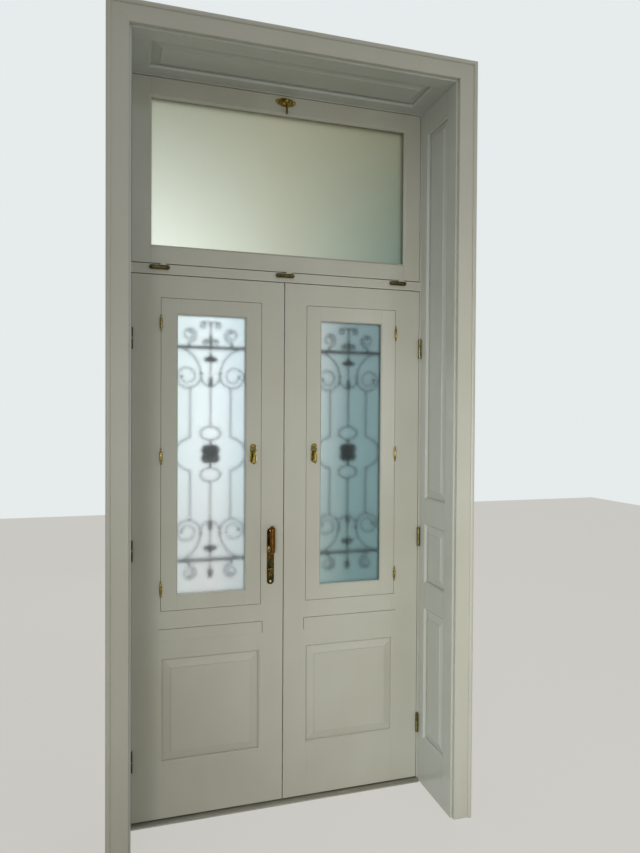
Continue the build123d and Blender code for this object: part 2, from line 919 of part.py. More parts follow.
keep(Compound(children=cut_apart(sash_blank.part, sash_cuts)), "fanlight_frame")
keep(Compound(children=cut_apart(sash_bead, sash_cuts)), "fanlight_beads")
keep(sash_pane, "fanlight_pane")
keep(
    latch_plate(oval_outline.sketch, (0, sash_latch_z), spindle_r + spindle_fit),
    "fanlight_latch_plate",
)
keep(latch_handle((0, sash_latch_z), (-1, 0), sash_blade_reach), "fanlight_latch_handle")


# Hinges of the leaves: the pin half on the frame, the socket half on the leaf
pin_half, socket_half = hinge_halves(
    barrel(hinge_r, hinge_ease, hinge_half),
    barrel(hinge_r, hinge_ease, hinge_half - knuckle_gap),
    hinge_washer_r,
    pin_r,
    pin_length,
)
with BuildPart() as frame_hinges:
    for z in hinge_heights:
        with Locations((hinge_x, hinge_y, z)):
            add(pin_half)
        bar(
            (jamb_in, jamb_in + flap_t),
            (hinge_y, flap_depth),
            (z - flap_h, z - flap_clear),
        )
    mirror(about=Plane.YZ)
keep(frame_hinges.part, "frame_hinge_pins")

with BuildPart() as leaf_hinges:
    for z in hinge_heights:
        with Locations((hinge_x, hinge_y, z)):
            add(socket_half)
        bar(
            (leaf_out - flap_t, leaf_out),
            (hinge_y, flap_depth),
            (z + knuckle_gap, z + flap_h),
        )
        rod(
            (hinge_x, hinge_y, z),
            pin_r + pin_fit,
            pin_length + knuckle_gap,
            (0, 0, 1),
            mode=Mode.SUBTRACT,
        )
keep_pair(leaf_hinges.part, "leaf_hinge_knuckles")


# Hinges of the casements: the pin half on the leaf, the socket half on the casement
olive_pin, olive_socket = hinge_halves(
    finial(olive_r, olive_body, olive_neck_r, olive_ball_r, olive_half),
    finial(
        olive_r, olive_body - knuckle_gap, olive_neck_r, olive_ball_r, olive_half - knuckle_gap
    ),
    olive_washer_r,
    olive_pin_r,
    olive_pin_length,
)
with BuildPart() as leaf_olives:
    for z in olive_heights:
        with Locations((olive_x, olive_y, z)):
            add(olive_pin)
        bar(
            (panel_out + lip, panel_out + lip + olive_flap_t),
            (olive_y, olive_flap_depth),
            (z - olive_flap_h, z - olive_flap_clear),
        )
keep_pair(leaf_olives.part, "casement_hinge_pins")

with BuildPart() as casement_olives:
    for z in olive_heights:
        with Locations((olive_x, olive_y, z)):
            add(olive_socket)
        bar(
            (casement_out - olive_flap_t, casement_out),
            (olive_y, olive_flap_depth),
            (z + knuckle_gap, z + olive_flap_h),
        )
        rod(
            (olive_x, olive_y, z),
            olive_pin_r + pin_fit,
            olive_pin_length + knuckle_gap,
            (0, 0, 1),
            mode=Mode.SUBTRACT,
        )
keep_pair(casement_olives.part, "casement_hinge_knuckles")


# Hinges of the fanlight, lying along its foot
sash_pin, sash_socket = hinge_halves(
    finial(
        sash_hinge_r, sash_hinge_body, sash_hinge_neck_r, sash_hinge_ball_r, sash_hinge_half
    ),
    finial(
        sash_hinge_r,
        sash_hinge_body - knuckle_gap,
        sash_hinge_neck_r,
        sash_hinge_ball_r,
        sash_hinge_half - knuckle_gap,
    ),
    sash_washer_r,
    sash_pin_r,
    sash_pin_length,
)
sash_hinge_places = (-sash_side + sash_hinge_inset, 0, sash_side - sash_hinge_inset)
with BuildPart() as transom_hinges:
    for x in sash_hinge_places:
        with Locations(Location((x, sash_hinge_y, sash_hinge_z), (0, 90, 0))):
            add(sash_pin)
        bar(
            (x - sash_flap_w, x - flap_clear),
            (sash_hinge_y, 0),
            (sash_hinge_z - sash_flap_t / 2, sash_hinge_z + sash_flap_t / 2),
        )
keep(transom_hinges.part, "transom_hinge_pins")

with BuildPart() as sash_hinges:
    for x in sash_hinge_places:
        with Locations(Location((x, sash_hinge_y, sash_hinge_z), (0, 90, 0))):
            add(sash_socket)
        bar(
            (x + knuckle_gap, x + sash_flap_w),
            (sash_hinge_y - sash_flap_t / 2, sash_hinge_y + sash_flap_t / 2),
            (sash_hinge_z + sash_pin_r + sash_flap_clear, sash_low + sash_flap_t),
        )
        bar(
            (x + knuckle_gap, x + sash_flap_w),
            (sash_hinge_y - sash_flap_t / 2, 0),
            (sash_low, sash_low + sash_flap_t),
        )
keep(sash_hinges.part, "fanlight_hinge_knuckles")


# Mortise lock, its bolts and its strike
with BuildPart() as lock_case:
    bar(
        (-leaf_in - faceplate_t - lock_depth, -leaf_in - faceplate_t),
        (lock_y - lock_t / 2, lock_y + lock_t / 2),
        lock_z,
    )
    bar((-leaf_in - faceplate_t, -leaf_in), face_y, face_z)
    bar(
        (-leaf_in - faceplate_t - lock_depth + lock_wall, -leaf_in - faceplate_t - lock_wall),
        (lock_y - lock_t / 2 + lock_wall, lock_y + lock_t / 2 - lock_wall),
        (lock_z[0] + lock_wall, lock_z[1] - lock_wall),
        mode=Mode.SUBTRACT,
    )
    for z, height, throw in bolts:
        bolt_room((-leaf_in - faceplate_t - lock_wall, -leaf_in), z, height)
    rod((handle_x, 0, latch_bolt_z), spindle_side, leaf_t, (0, 1, 0), mode=Mode.SUBTRACT)
    add(cylinder_hole, mode=Mode.SUBTRACT)
keep(lock_case.part, "lock_case")

with BuildPart() as latch_bolt:
    bar(
        (-leaf_in - bolt_length, -leaf_in),
        bolt_y,
        (latch_bolt_z - latch_bolt_h / 2, latch_bolt_z + latch_bolt_h / 2),
    )
    nose = latch_bolt.edges().filter_by(Axis.Z).group_by(Axis.X)[-1].sort_by(Axis.Y)[0]
    chamfer(nose, length=bolt_nose)
keep(latch_bolt.part, "latch_bolt")

with BuildPart() as dead_bolt:
    bar(
        (-leaf_in - bolt_length, -leaf_in),
        bolt_y,
        (dead_bolt_z - dead_bolt_h / 2, dead_bolt_z + dead_bolt_h / 2),
    )
keep(dead_bolt.part, "dead_bolt")

with BuildPart() as strike_plate:
    bar((leaf_in, leaf_in + strike_t), face_y, face_z)
    for z, height, throw in bolts:
        bolt_room((leaf_in, leaf_in + strike_t), z, height)
keep(strike_plate.part, "strike_plate")


# Handle set: long round-ended plates, the two levers, the cylinder and its thumb turn
def handle_plate(face, way):
    """A long plate with round ends, on the face at a Y value, standing out one way."""
    outer = Plane(origin=(handle_x, face + way * plate_t, 0), x_dir=(-way, 0, 0), z_dir=(0, way, 0))
    with BuildPart() as plate:
        with BuildSketch(outer):
            with Locations((0, (plate_z[0] + plate_z[1]) / 2)):
                SlotOverall(plate_z[1] - plate_z[0], plate_w, rotation=90)
            with Locations((0, latch_bolt_z)):
                Circle(neck_r + neck_fit, mode=Mode.SUBTRACT)
        extrude(amount=-plate_t)
        rim = plate.faces().filter_by(Axis.Y).sort_by(Axis.Y)[-1 if way > 0 else 0].outer_wire()
        chamfer(rim.edges(), length=plate_ease)
        add([cylinder_hole, *screw_holes], mode=Mode.SUBTRACT)
    return plate.part


keep(Compound(children=screws), "handle_screws")
keep(handle_plate(0, -1), "handle_plate_inside")
keep(handle_plate(leaf_t, 1), "handle_plate_outside")


def lever(face, way):
    """A lever handle standing up from its neck, its tip bent back towards the door."""
    y = face + way * (plate_t + lever_standoff)
    with BuildPart() as handle:
        rod((handle_x, face, latch_bolt_z), neck_r, plate_t + lever_standoff, (0, way, 0))
        with BuildLine():
            FilletPolyline(
                (handle_x, y, latch_bolt_z - neck_r),
                (handle_x, y, latch_bolt_z + lever_length),
                (
                    handle_x,
                    y - way * lever_return,
                    latch_bolt_z + lever_length + lever_return_rise,
                ),
                radius=lever_bend_r,
            )
        with BuildSketch(Plane(origin=(handle_x, y, latch_bolt_z - neck_r), z_dir=(0, 0, 1))):
            Ellipse(lever_rx, lever_ry)
        sweep()
    return handle.part


room_lever, outer_lever = lever(0, -1), lever(leaf_t, 1)
with BuildPart() as lever_inside:
    add(room_lever)
    bar(
        (handle_x - spindle_side / 2, handle_x + spindle_side / 2),
        (0, leaf_t + plate_t),
        (latch_bolt_z - spindle_side / 2, latch_bolt_z + spindle_side / 2),
    )
keep(lever_inside.part, "lever_inside")

with BuildPart() as lever_outside:
    add(outer_lever)
    bar(
        (handle_x - spindle_side / 2, handle_x + spindle_side / 2),
        (leaf_t, leaf_t + plate_t),
        (latch_bolt_z - spindle_side / 2, latch_bolt_z + spindle_side / 2),
        mode=Mode.SUBTRACT,
    )
keep(lever_outside.part, "lever_outside")

cylinder_y = (-plate_t - cylinder_stand, leaf_t + plate_t + cylinder_stand)
keep(cylinder_form(0, cylinder_y), "lock_cylinder")

with BuildPart() as thumb_turn:
    rod((handle_x, cylinder_y[0], dead_bolt_z), turn_stem_r, turn_stem, (0, -1, 0))
    with BuildSketch(Plane.XZ.offset(turn_stem - cylinder_y[0])):
        with Locations((handle_x, dead_bolt_z)):
            Ellipse(turn_h / 2, turn_w / 2)
    extrude(amount=turn_t)
    turn_edges = thumb_turn.faces().sort_by(Axis.Y)[0].edges()
    fillet(turn_edges, radius=turn_ease)
keep(thumb_turn.part, "thumb_turn")


# Flush bolts and their face plates
for (end, way, throw), name in zip(flush_ends, ("top", "foot")):
    knob_z = end - way * (flush_length - flush_knob_room)
    with BuildPart() as flush_bolt:
        rod((flush_x, flush_y, end), flush_r, flush_length, (0, 0, -way))
        rod(
            (flush_x, flush_y, knob_z),
            flush_knob_r,
            flush_x - leaf_in - flush_knob_clear,
            (-1, 0, 0),
        )
    keep(flush_bolt.part, f"{name}_flush_bolt")

with BuildPart() as flush_plates:
    for end, way, throw in flush_ends:
        knob_z = end - way * (flush_length - flush_knob_room)
        bar(
            (leaf_in, leaf_in + flush_plate_t),
            (flush_y - flush_plate_w / 2, flush_y + flush_plate_w / 2),
            (end, end - way * (flush_length + flush_knob_room)),
        )
        bar(
            (leaf_in, leaf_in + flush_plate_t),
            (flush_y - flush_knob_r - flush_fit, flush_y + flush_knob_r + flush_fit),
            (
                knob_z - way * (flush_knob_r + flush_fit),
                knob_z + way * (flush_knob_r + flush_fit + throw),
            ),
            mode=Mode.SUBTRACT,
        )
keep(flush_plates.part, "flush_bolt_plates")


# Wrought-iron grille: bands bent into scrolls between two flat rails
def volute(start, heading, radius, turn, quarters):
    """A band that winds inwards by quarter turns, each tighter than the last, to an eye."""
    with BuildLine() as spiral:
        tip, way = Vector(*start), Vector(*heading)
        for quarter in range(quarters):
            arc = JernArc(tip, way, radius * volute_shrink**quarter, turn * 90)
            tip, way = arc @ 1, arc % 1
    trace(spiral.edges(), line_width=iron_w)
    with Locations((tip.X, tip.Y)):
        Circle(iron_w)


def band(line):
    """An iron band that follows a curved line of the pattern."""
    trace(line, line_width=iron_w)


def upright(x, low, high):
    """An upright iron band at an X value of the pattern."""
    with Locations((x, (low + high) / 2)):
        Rectangle(iron_w, abs(high - low))


def quarter_pattern():
    """One quarter of the pattern between the rails: the volute, its arm and half the bow."""
    inner = volute_x - volute_r
    volute((inner, volute_v), (0, -1), volute_r, 1, volute_quarters)
    band(TangentArc((inner, volute_v), (volute_x + arm_run, grille_half), tangent=(0, 1)))
    upright(upright_x, bow_v, volute_v - volute_r)
    band(ThreePointArc((upright_x, bow_v), bow_shoulder, (bow_x, 0)))
    band(TangentArc((inner, volute_v), (0, cup_v), tangent=(0, -1)))
    with Locations((inner, volute_v + collar_rise)):
        Rectangle(collar_w, iron_w)


def rail_motif(way, eye_r):
    """The scroll that sits on a rail, outside the main pattern."""
    z = way * (grille_half + small_volute_drop)
    foot_z = z - way * eye_r
    volute((small_volute_x, foot_z), (-1, 0), eye_r, -way, small_volute_quarters)
    with Locations((small_volute_x, (foot_z + way * grille_half) / 2)):
        Rectangle(rosette_stem_w, abs(foot_z - way * grille_half) + iron_w)


grille_x = (panel_in + panel_out) / 2
rail_half = (panel_out - panel_in) / 2 + grille_lap
with BuildSketch() as pattern:
    quarter_pattern()
    mirror(about=Plane.XZ)
    rail_motif(1, small_volute_r)
    rail_motif(-1, small_volute_r)
    mirror(about=Plane.YZ)
    for way in (-1, 1):
        upright(0, way * (loop_v + loop_ry - iron_w / 2), way * grille_half)
        with Locations((0, way * grille_half)):
            Rectangle(rail_half * 2, rail_iron_w)
        with Locations((0, way * knot_v)):
            Ellipse(knot_rx, knot_ry)
        with Locations((0, way * cap_v)):
            Ellipse(cap_rx, cap_ry)
        with Locations((0, way * loop_v)):
            Ellipse(loop_rx, loop_ry)
            Ellipse(loop_rx - iron_w, loop_ry - iron_w, mode=Mode.SUBTRACT)
    with Locations((0, grille_half + baluster_h / 2)):
        Rectangle(baluster_w, baluster_h)
    with Locations((0, -grille_half - drop_v)):
        Ellipse(drop_rx, drop_ry)
    upright(0, -grille_half - drop_v, -grille_half)

with BuildSketch() as rosette:
    with PolarLocations(petal_out, petals, start_angle=180 / petals):
        Circle(petal_r)
    Rectangle(rosette_stem_w, (loop_v - loop_ry) * 2 + iron_w)

grille_plane = Plane(
    origin=(grille_x, leaf_t, grille_mid), x_dir=(-1, 0, 0), z_dir=(0, 1, 0)
)
with BuildPart() as grille:
    with BuildSketch(grille_plane):
        add(pattern.sketch)
    extrude(amount=iron_t)
    with BuildSketch(grille_plane.offset((iron_t - rosette_t) / 2)):
        add(rosette.sketch)
    extrude(amount=rosette_t)
    with BuildSketch(grille_plane.offset((iron_t - rosette_t) / 2 - rosette_boss)):
        Circle(rosette_boss_r)
    extrude(amount=rosette_t + rosette_boss * 2)
keep_pair(grille.part, "grille")
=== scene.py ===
"""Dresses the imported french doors: brushed enamel, brass fittings, frosted panes and wrought iron.

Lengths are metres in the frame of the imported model: X along the wall with the leaves' meeting line
at 0, Y outwards from the room face of the leaves, Z up from the floor.
"""

import logging
import math
from dataclasses import dataclass, field
from enum import Enum

import bmesh
import bpy
import numpy as np
from mathutils import Matrix, Vector


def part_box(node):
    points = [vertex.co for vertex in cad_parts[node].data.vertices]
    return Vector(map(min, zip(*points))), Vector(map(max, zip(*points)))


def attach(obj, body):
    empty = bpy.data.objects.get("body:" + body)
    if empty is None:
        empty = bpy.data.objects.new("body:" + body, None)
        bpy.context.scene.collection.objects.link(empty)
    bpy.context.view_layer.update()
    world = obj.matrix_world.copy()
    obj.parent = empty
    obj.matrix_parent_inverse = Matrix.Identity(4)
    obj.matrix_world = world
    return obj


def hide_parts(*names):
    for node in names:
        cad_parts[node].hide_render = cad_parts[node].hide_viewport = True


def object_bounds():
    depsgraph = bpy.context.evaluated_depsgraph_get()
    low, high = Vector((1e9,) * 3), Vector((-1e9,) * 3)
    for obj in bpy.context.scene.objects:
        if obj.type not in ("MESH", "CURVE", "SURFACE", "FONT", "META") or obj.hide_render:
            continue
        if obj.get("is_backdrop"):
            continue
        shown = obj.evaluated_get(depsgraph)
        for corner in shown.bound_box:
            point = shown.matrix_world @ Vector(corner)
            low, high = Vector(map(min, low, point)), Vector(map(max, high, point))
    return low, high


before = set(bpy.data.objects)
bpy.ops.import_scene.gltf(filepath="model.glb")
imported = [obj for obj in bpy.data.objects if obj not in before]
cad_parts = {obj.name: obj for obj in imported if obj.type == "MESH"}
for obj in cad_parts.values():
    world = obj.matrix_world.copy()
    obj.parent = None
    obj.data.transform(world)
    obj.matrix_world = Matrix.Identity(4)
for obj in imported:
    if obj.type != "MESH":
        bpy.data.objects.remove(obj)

Array = np.ndarray
Point = tuple[float, float, float]
# A place on a face, or two sizes that belong together
Flat = tuple[float, float]
Inputs = dict[str | int, object]
Stops = tuple[tuple[float, str], ...]

log = logging.getLogger("french_doors")

MERGE = 1e-6
SHARP = math.radians(38)
# The signs that carry a line in the upper right quarter of a grille to all four quarters
QUARTERS = ((1, 1), (-1, 1), (1, -1), (-1, -1))


class Side(Enum):
    """Which leaf a piece belongs to: its name and the sign of its X."""

    LEFT = ("left", -1)
    RIGHT = ("right", 1)

    @property
    def label(self) -> str:
        """The word that the node and body names start with."""
        return self.value[0]

    @property
    def sign(self) -> int:
        """-1 on the left of the meeting line and 1 on its right."""
        return self.value[1]


class Grain(Enum):
    """The way that the brush was drawn, as pattern scales per metre along X, Y and Z.

    Brush lines are a fraction of a millimetre apart. 4 mm is the finest that shows here, so they
    are drawn 4 mm apart and 140 mm long.
    """

    UPRIGHT = (230.0, 230.0, 7.0)
    LEVEL = (7.0, 230.0, 230.0)


class Axis(Enum):
    """The way that a finish changes over a piece, by the name of its coordinate."""

    ACROSS = "X"
    UPWARDS = "Z"


def linear(colour: str) -> tuple[float, float, float, float]:
    """Turns an sRGB hex colour into linear light.

    Args:
        colour: six hex digits after a hash sign.

    Returns:
        Red, green, blue and an alpha of 1.
    """
    coded = np.array([int(colour[i : i + 2], 16) for i in (1, 3, 5)]) / 255
    light = np.where(coded <= 0.04045, coded / 12.92, ((coded + 0.055) / 1.055) ** 2.4)
    return (*light.tolist(), 1.0)


def set_stops(ramp: bpy.types.ColorRamp, stops: Stops) -> None:
    """Puts colours on a ramp.

    Args:
        ramp: the ramp.
        stops: each place on it, from 0 to 1, and its sRGB hex colour.
    """
    while len(ramp.elements) < len(stops):
        ramp.elements.new(1.0)
    for element, (place, colour) in zip(ramp.elements, stops):
        element.position = place
        element.color = linear(colour)


def add_node(
    tree: bpy.types.NodeTree,
    kind: str,
    settings: dict[str, object] | None = None,
    inputs: Inputs | None = None,
) -> bpy.types.Node:
    """Adds a node with its settings, values and links.

    Args:
        tree: the node tree that it goes into.
        kind: the node's type name.
        settings: attributes of the node by name, a colour ramp's given as its stops.
        inputs: a value for each socket by name or number, or the output that is linked to it.

    Returns:
        The new node.
    """
    node = tree.nodes.new(kind)
    for name, value in (settings or {}).items():
        if name == "color_ramp":
            set_stops(node.color_ramp, value)
        else:
            setattr(node, name, value)
    for key, value in (inputs or {}).items():
        if isinstance(value, bpy.types.NodeSocket):
            tree.links.new(value, node.inputs[key])
        else:
            node.inputs[key].default_value = value
    return node


def new_tree(name: str) -> tuple[bpy.types.Material, bpy.types.NodeTree]:
    """A new material with an empty node tree.

    Args:
        name: the finish's name.

    Returns:
        The material and its tree.
    """
    material = bpy.data.materials.new(name)
    material.use_nodes = True
    material.node_tree.nodes.clear()
    return material, material.node_tree


def object_noise(tree: bpy.types.NodeTree, scale: Point, detail: float) -> bpy.types.NodeSocket:
    """Noise on Object coordinates.

    Args:
        tree: the node tree.
        scale: features per metre along X, Y and Z.
        detail: how many finer layers it has.

    Returns:
        The noise value's socket.
    """
    place = add_node(tree, "ShaderNodeTexCoord").outputs["Object"]
    mapped = add_node(tree, "ShaderNodeMapping", None, {"Vector": place, "Scale": scale})
    noise = {"Vector": mapped.outputs["Vector"], "Scale": 1.0, "Detail": detail}
    return add_node(tree, "ShaderNodeTexNoise", None, noise).outputs["Fac"]


def clouded(
    tree: bpy.types.NodeTree, scale: Point, detail: float, ends: Flat, colours: tuple[str, str]
) -> bpy.types.NodeSocket:
    """Two colours that follow each other in clouds.

    Args:
        tree: the node tree.
        scale: clouds per metre along X, Y and Z.
        detail: how many finer layers they have.
        ends: the noise up to which the first colour is pure, and that from which the second is.
        colours: the two sRGB hex colours.

    Returns:
        The colour's socket.
    """
    settings = {"color_ramp": tuple(zip(ends, colours))}
    inputs = {"Fac": object_noise(tree, scale, detail)}
    return add_node(tree, "ShaderNodeValToRGB", settings, inputs).outputs["Color"]


def uneven(
    tree: bpy.types.NodeTree, scale: Point, detail: float, low: float, high: float
) -> bpy.types.NodeSocket:
    """A value that wanders, its range filled by the part of a noise from 0.3 to 0.7.

    Args:
        tree: the node tree.
        scale: features per metre along X, Y and Z.
        detail: how many finer layers the noise has.
        low: the lowest value.
        high: the highest value.

    Returns:
        The value's socket.
    """
    inputs = {0: object_noise(tree, scale, detail), 1: 0.3, 2: 0.7, 3: low, 4: high}
    return add_node(tree, "ShaderNodeMapRange", None, inputs).outputs[0]


def raised(
    tree: bpy.types.NodeTree,
    scale: Point,
    detail: float,
    depth: float,
    normal: bpy.types.NodeSocket | None = None,
) -> bpy.types.NodeSocket:
    """Raises the surface by a noise.

    Args:
        tree: the node tree.
        scale: bumps per metre along X, Y and Z.
        detail: how many finer layers they have.
        depth: how high they stand, in metres.
        normal: the normal that they start from, or none for the surface's own.

    Returns:
        The new normal's socket.
    """
    height = object_noise(tree, scale, detail)
    inputs: Inputs = {"Height": height, "Distance": depth, "Strength": 1.0}
    if normal:
        inputs["Normal"] = normal
    return add_node(tree, "ShaderNodeBump", None, inputs).outputs["Normal"]


def corner_stain_and_shade(
    tree: bpy.types.NodeTree, reach: float, ends: Flat, corner_colour: str, clean: bpy.types.NodeSocket
) -> bpy.types.NodeSocket:
    """Lays a darker colour in the corners: painted shade on the enamel, tarnish and rust on the
    metals.

    The surface's openness is 1 on open faces, and less where others stand within the reach.

    Args:
        tree: the node tree.
        reach: how far other surfaces count, in metres.
        ends: the openness up to which all is the corner colour, and that from which there is none.
        corner_colour: its sRGB hex colour.
        clean: the colour without it.

    Returns:
        The colour's socket.
    """
    # On the enamel this darkening is painted shade; on the metals it is tarnish and rust
    openness = add_node(
        tree, "ShaderNodeAmbientOcclusion", {"samples": 8}, {"Distance": reach}
    ).outputs["AO"]
    share = add_node(
        tree, "ShaderNodeMapRange", None, {0: openness, 1: ends[0], 2: ends[1]}
    ).outputs[0]
    inputs = {0: share, 6: linear(corner_colour), 7: clean}
    return add_node(tree, "ShaderNodeMix", {"data_type": "RGBA"}, inputs).outputs[2]


def shaded(tree: bpy.types.NodeTree, inputs: Inputs) -> None:
    """Ends a material in one Principled shader.

    Args:
        tree: the node tree.
        inputs: the shader's values and links.
    """
    shader = add_node(tree, "ShaderNodeBsdfPrincipled", None, inputs)
    add_node(tree, "ShaderNodeOutputMaterial", None, {"Surface": shader.outputs["BSDF"]})


@dataclass(frozen=True)
class Enamel:
    """Oil enamel brushed on planed softwood.

    It gives the eye a warm white with a wet gloss, faint brush lines along the board, a slow
    unevenness in the reflections and softened arrises, with grey shade painted into the
    mouldings and corners. Its clouds are some 450 mm wide and 700 mm tall, its smears 110 by
    200 mm and its sags 55 by 110 mm.
    """

    name: str
    grain: Grain
    roughness: float = 0.285
    # Painted shade: these colours are greyer than the white enamel itself, for the dim light round
    # the doors
    colours: tuple[str, str] = ("#bdbcae", "#c8c8bc")
    # Painted shade: the grey laid in the mouldings and corners
    corner_shade: str = "#9b998e"
    arris: float = 0.0018
    brush_depth: float = 0.00006
    sag_depth: float = 0.00012
    clouds: Point = (2.2, 2.2, 1.4)
    smears: Point = (9.0, 9.0, 5.0)
    sags: Point = (18.0, 18.0, 9.0)
    shade_reach: float = 0.005

    def material(self) -> bpy.types.Material:
        """Makes the enamel.

        Returns:
            The material.
        """
        material, tree = new_tree(self.name)
        paint = clouded(tree, self.clouds, 3.0, (0.32, 0.68), self.colours)
        arris = add_node(tree, "ShaderNodeBevel", {"samples": 4}, {"Radius": self.arris})
        sagged = raised(tree, self.sags, 1.0, self.sag_depth, arris.outputs["Normal"])
        # A gloss on one side of 0.27 all over keeps the render's denoiser from drawing blotches
        gloss = uneven(tree, self.smears, 2.0, self.roughness, self.roughness + 0.08)
        shaded(
            tree,
            {
                # The corner colour is painted shade: the enamel darkens where other surfaces stand
                # close
                "Base Color": corner_stain_and_shade(tree, self.shade_reach, (0.1, 0.55), self.corner_shade, paint),
                "Roughness": gloss,
                "IOR": 1.48,
                "Normal": raised(tree, self.grain.value, 2.0, self.brush_depth, sagged),
            },
        )
        return material


@dataclass(frozen=True)
class Brass:
    """Turned and polished brass that has been handled for years.

    It gives the eye a warm yellow metal with smudged gloss, brown tarnish in its corners and edges
    worn bright, with painted highlights on them. Its clouds are some 20 mm wide, its smudges 6 mm
    and its dents 5 mm.
    Where it has shade colours, darker ones that paint shade, it takes them below the change
    along its axis.
    """

    name: str
    colours: tuple[str, str] = ("#75642f", "#a08a49")
    tarnish: str = "#2c230f"
    # Pale edge colour: wear and a painted highlight
    worn_highlight: str = "#efe2b0"
    roughness: float = 0.14
    shade_colours: tuple[str, str] | None = None
    axis: Axis = Axis.ACROSS
    change: Flat = (-0.01, 0.01)
    clouds: Point = (55.0, 55.0, 40.0)
    smudges: Point = (160.0, 160.0, 120.0)
    dents: Point = (220.0, 220.0, 220.0)
    dent_depth: float = 0.00006
    arris: float = 0.0005
    tarnish_reach: float = 0.006
    rubbing_reach: float = 0.0022

    def metal(
        self, tree: bpy.types.NodeTree, colours: tuple[str, str]
    ) -> bpy.types.NodeSocket:
        """The metal's clouded colour."""
        return clouded(tree, self.clouds, 3.0, (0.35, 0.65), colours)

    def rubbing(self, tree: bpy.types.NodeTree) -> bpy.types.NodeSocket:
        """How much wear and painted highlight the edges take, more on an edge and 0 on a face.

        Where the normal rounded over the reach leans away from the face's own, an edge is near.

        Args:
            tree: the node tree.

        Returns:
            The share's socket.
        """
        rounded = add_node(
            tree, "ShaderNodeBevel", {"samples": 6}, {"Radius": self.rubbing_reach}
        ).outputs["Normal"]
        own = add_node(tree, "ShaderNodeNewGeometry").outputs["Normal"]
        alike = add_node(
            tree, "ShaderNodeVectorMath", {"operation": "DOT_PRODUCT"}, {0: rounded, 1: own}
        ).outputs["Value"]
        inputs = {0: alike, 1: 0.98, 2: 0.8, 3: 0.0, 4: 0.85}
        return add_node(tree, "ShaderNodeMapRange", None, inputs).outputs[0]

    def blended(self, tree: bpy.types.NodeTree) -> bpy.types.NodeSocket:
        """The metal's colour, with the painted shade colours where it has them.

        Args:
            tree: the node tree.

        Returns:
            The colour's socket.
        """
        metal = self.metal(tree, self.colours)
        if not self.shade_colours:
            return metal
        place = add_node(tree, "ShaderNodeTexCoord").outputs["Object"]
        axes = add_node(tree, "ShaderNodeSeparateXYZ", None, {0: place}).outputs
        inputs = {0: axes[self.axis.value], 1: self.change[0], 2: self.change[1]}
        near = add_node(tree, "ShaderNodeMapRange", None, inputs).outputs[0]
        inputs = {0: near, 6: self.metal(tree, self.shade_colours), 7: metal}
        return add_node(tree, "ShaderNodeMix", {"data_type": "RGBA"}, inputs).outputs[2]

    def material(self) -> bpy.types.Material:
        """Makes the brass.

        Returns:
            The material.
        """
        material, tree = new_tree(self.name)
        toned = corner_stain_and_shade(tree, self.tarnish_reach, (0.3, 0.8), self.tarnish, self.blended(tree))
        # The pale edge colour is partly wear and partly a painted highlight
        inputs = {0: self.rubbing(tree), 6: toned, 7: linear(self.worn_highlight)}
        colour = add_node(tree, "ShaderNodeMix", {"data_type": "RGBA"}, inputs).outputs[2]
        arris = add_node(tree, "ShaderNodeBevel", {"samples": 4}, {"Radius": self.arris})
        normal = raised(tree, self.dents, 2.0, self.dent_depth, arris.outputs["Normal"])
        shaded(
            tree,
            {
                "Base Color": colour,
                "Metallic": 1.0,
                "Roughness": uneven(
                    tree, self.smudges, 2.0, self.roughness, self.roughness + 0.16
                ),
                "Normal": normal,
            },
        )
        return material


@dataclass(frozen=True)
class FrostedGlass:
    """Sheet glass frosted by acid.

    It gives the eye a soft glow with no clear view, only blurred dark shapes of what stands close
    behind it, and the tint of the daylight that falls on that pane. The tint is a blend upwards
    between three colours across the foot of the pane and three across its head. The frosting's
    grain is far under a pixel, so its roughness stands for it, with clouds 30 mm wide.
    """

    name: str
    low: tuple[str, str, str]
    high: tuple[str, str, str]
    across: Flat
    up: Flat
    roughness: float = 0.56
    clouds: Point = (30.0, 30.0, 30.0)

    def material(self) -> bpy.types.Material:
        """Makes the glass.

        Returns:
            The material.
        """
        material, tree = new_tree(self.name)
        place = add_node(tree, "ShaderNodeTexCoord").outputs["Object"]
        axes = add_node(tree, "ShaderNodeSeparateXYZ", None, {0: place}).outputs
        side, height = (
            add_node(
                tree, "ShaderNodeMapRange", None, {0: axis, 1: ends[0], 2: ends[1]}
            ).outputs[0]
            for axis, ends in ((axes["X"], self.across), (axes["Z"], self.up))
        )
        low, high = (
            add_node(tree, "ShaderNodeValToRGB", {"color_ramp": stops}, {"Fac": side}).outputs[0]
            for stops in (tuple(zip((0.0, 0.5, 1.0), row)) for row in (self.low, self.high))
        )
        inputs = {0: height, 6: low, 7: high}
        tint = add_node(tree, "ShaderNodeMix", {"data_type": "RGBA"}, inputs).outputs[2]
        shaded(
            tree,
            {
                "Base Color": tint,
                "Transmission Weight": 1.0,
                "IOR": 1.45,
                "Roughness": uneven(
                    tree, self.clouds, 2.0, self.roughness, self.roughness + 0.05
                ),
            },
        )
        return material


@dataclass(frozen=True)
class WroughtIron:
    """Hand-forged iron under old dark paint.

    It gives the eye a blue-black surface with hammer dimples 9 mm wide, a dull sheen and rusty
    corners. Its clouds are some 40 mm wide.
    """

    name: str = "forged_iron"
    colours: tuple[str, str] = ("#23292c", "#3a4144")
    rust: str = "#3a2a20"
    rust_reach: float = 0.008
    clouds: Point = (26.0, 26.0, 26.0)
    dimples: Point = (110.0, 110.0, 110.0)
    dimple_depth: float = 0.0007

    def material(self) -> bpy.types.Material:
        """Makes the iron.

        Returns:
            The material.
        """
        material, tree = new_tree(self.name)
        paint = clouded(tree, self.clouds, 4.0, (0.3, 0.7), self.colours)
        shaded(
            tree,
            {
                "Base Color": corner_stain_and_shade(tree, self.rust_reach, (0.3, 0.8), self.rust, paint),
                "Metallic": 0.35,
                "Roughness": uneven(tree, self.dimples, 1.0, 0.38, 0.55),
                "Normal": raised(tree, self.dimples, 1.0, self.dimple_depth),
            },
        )
        return material


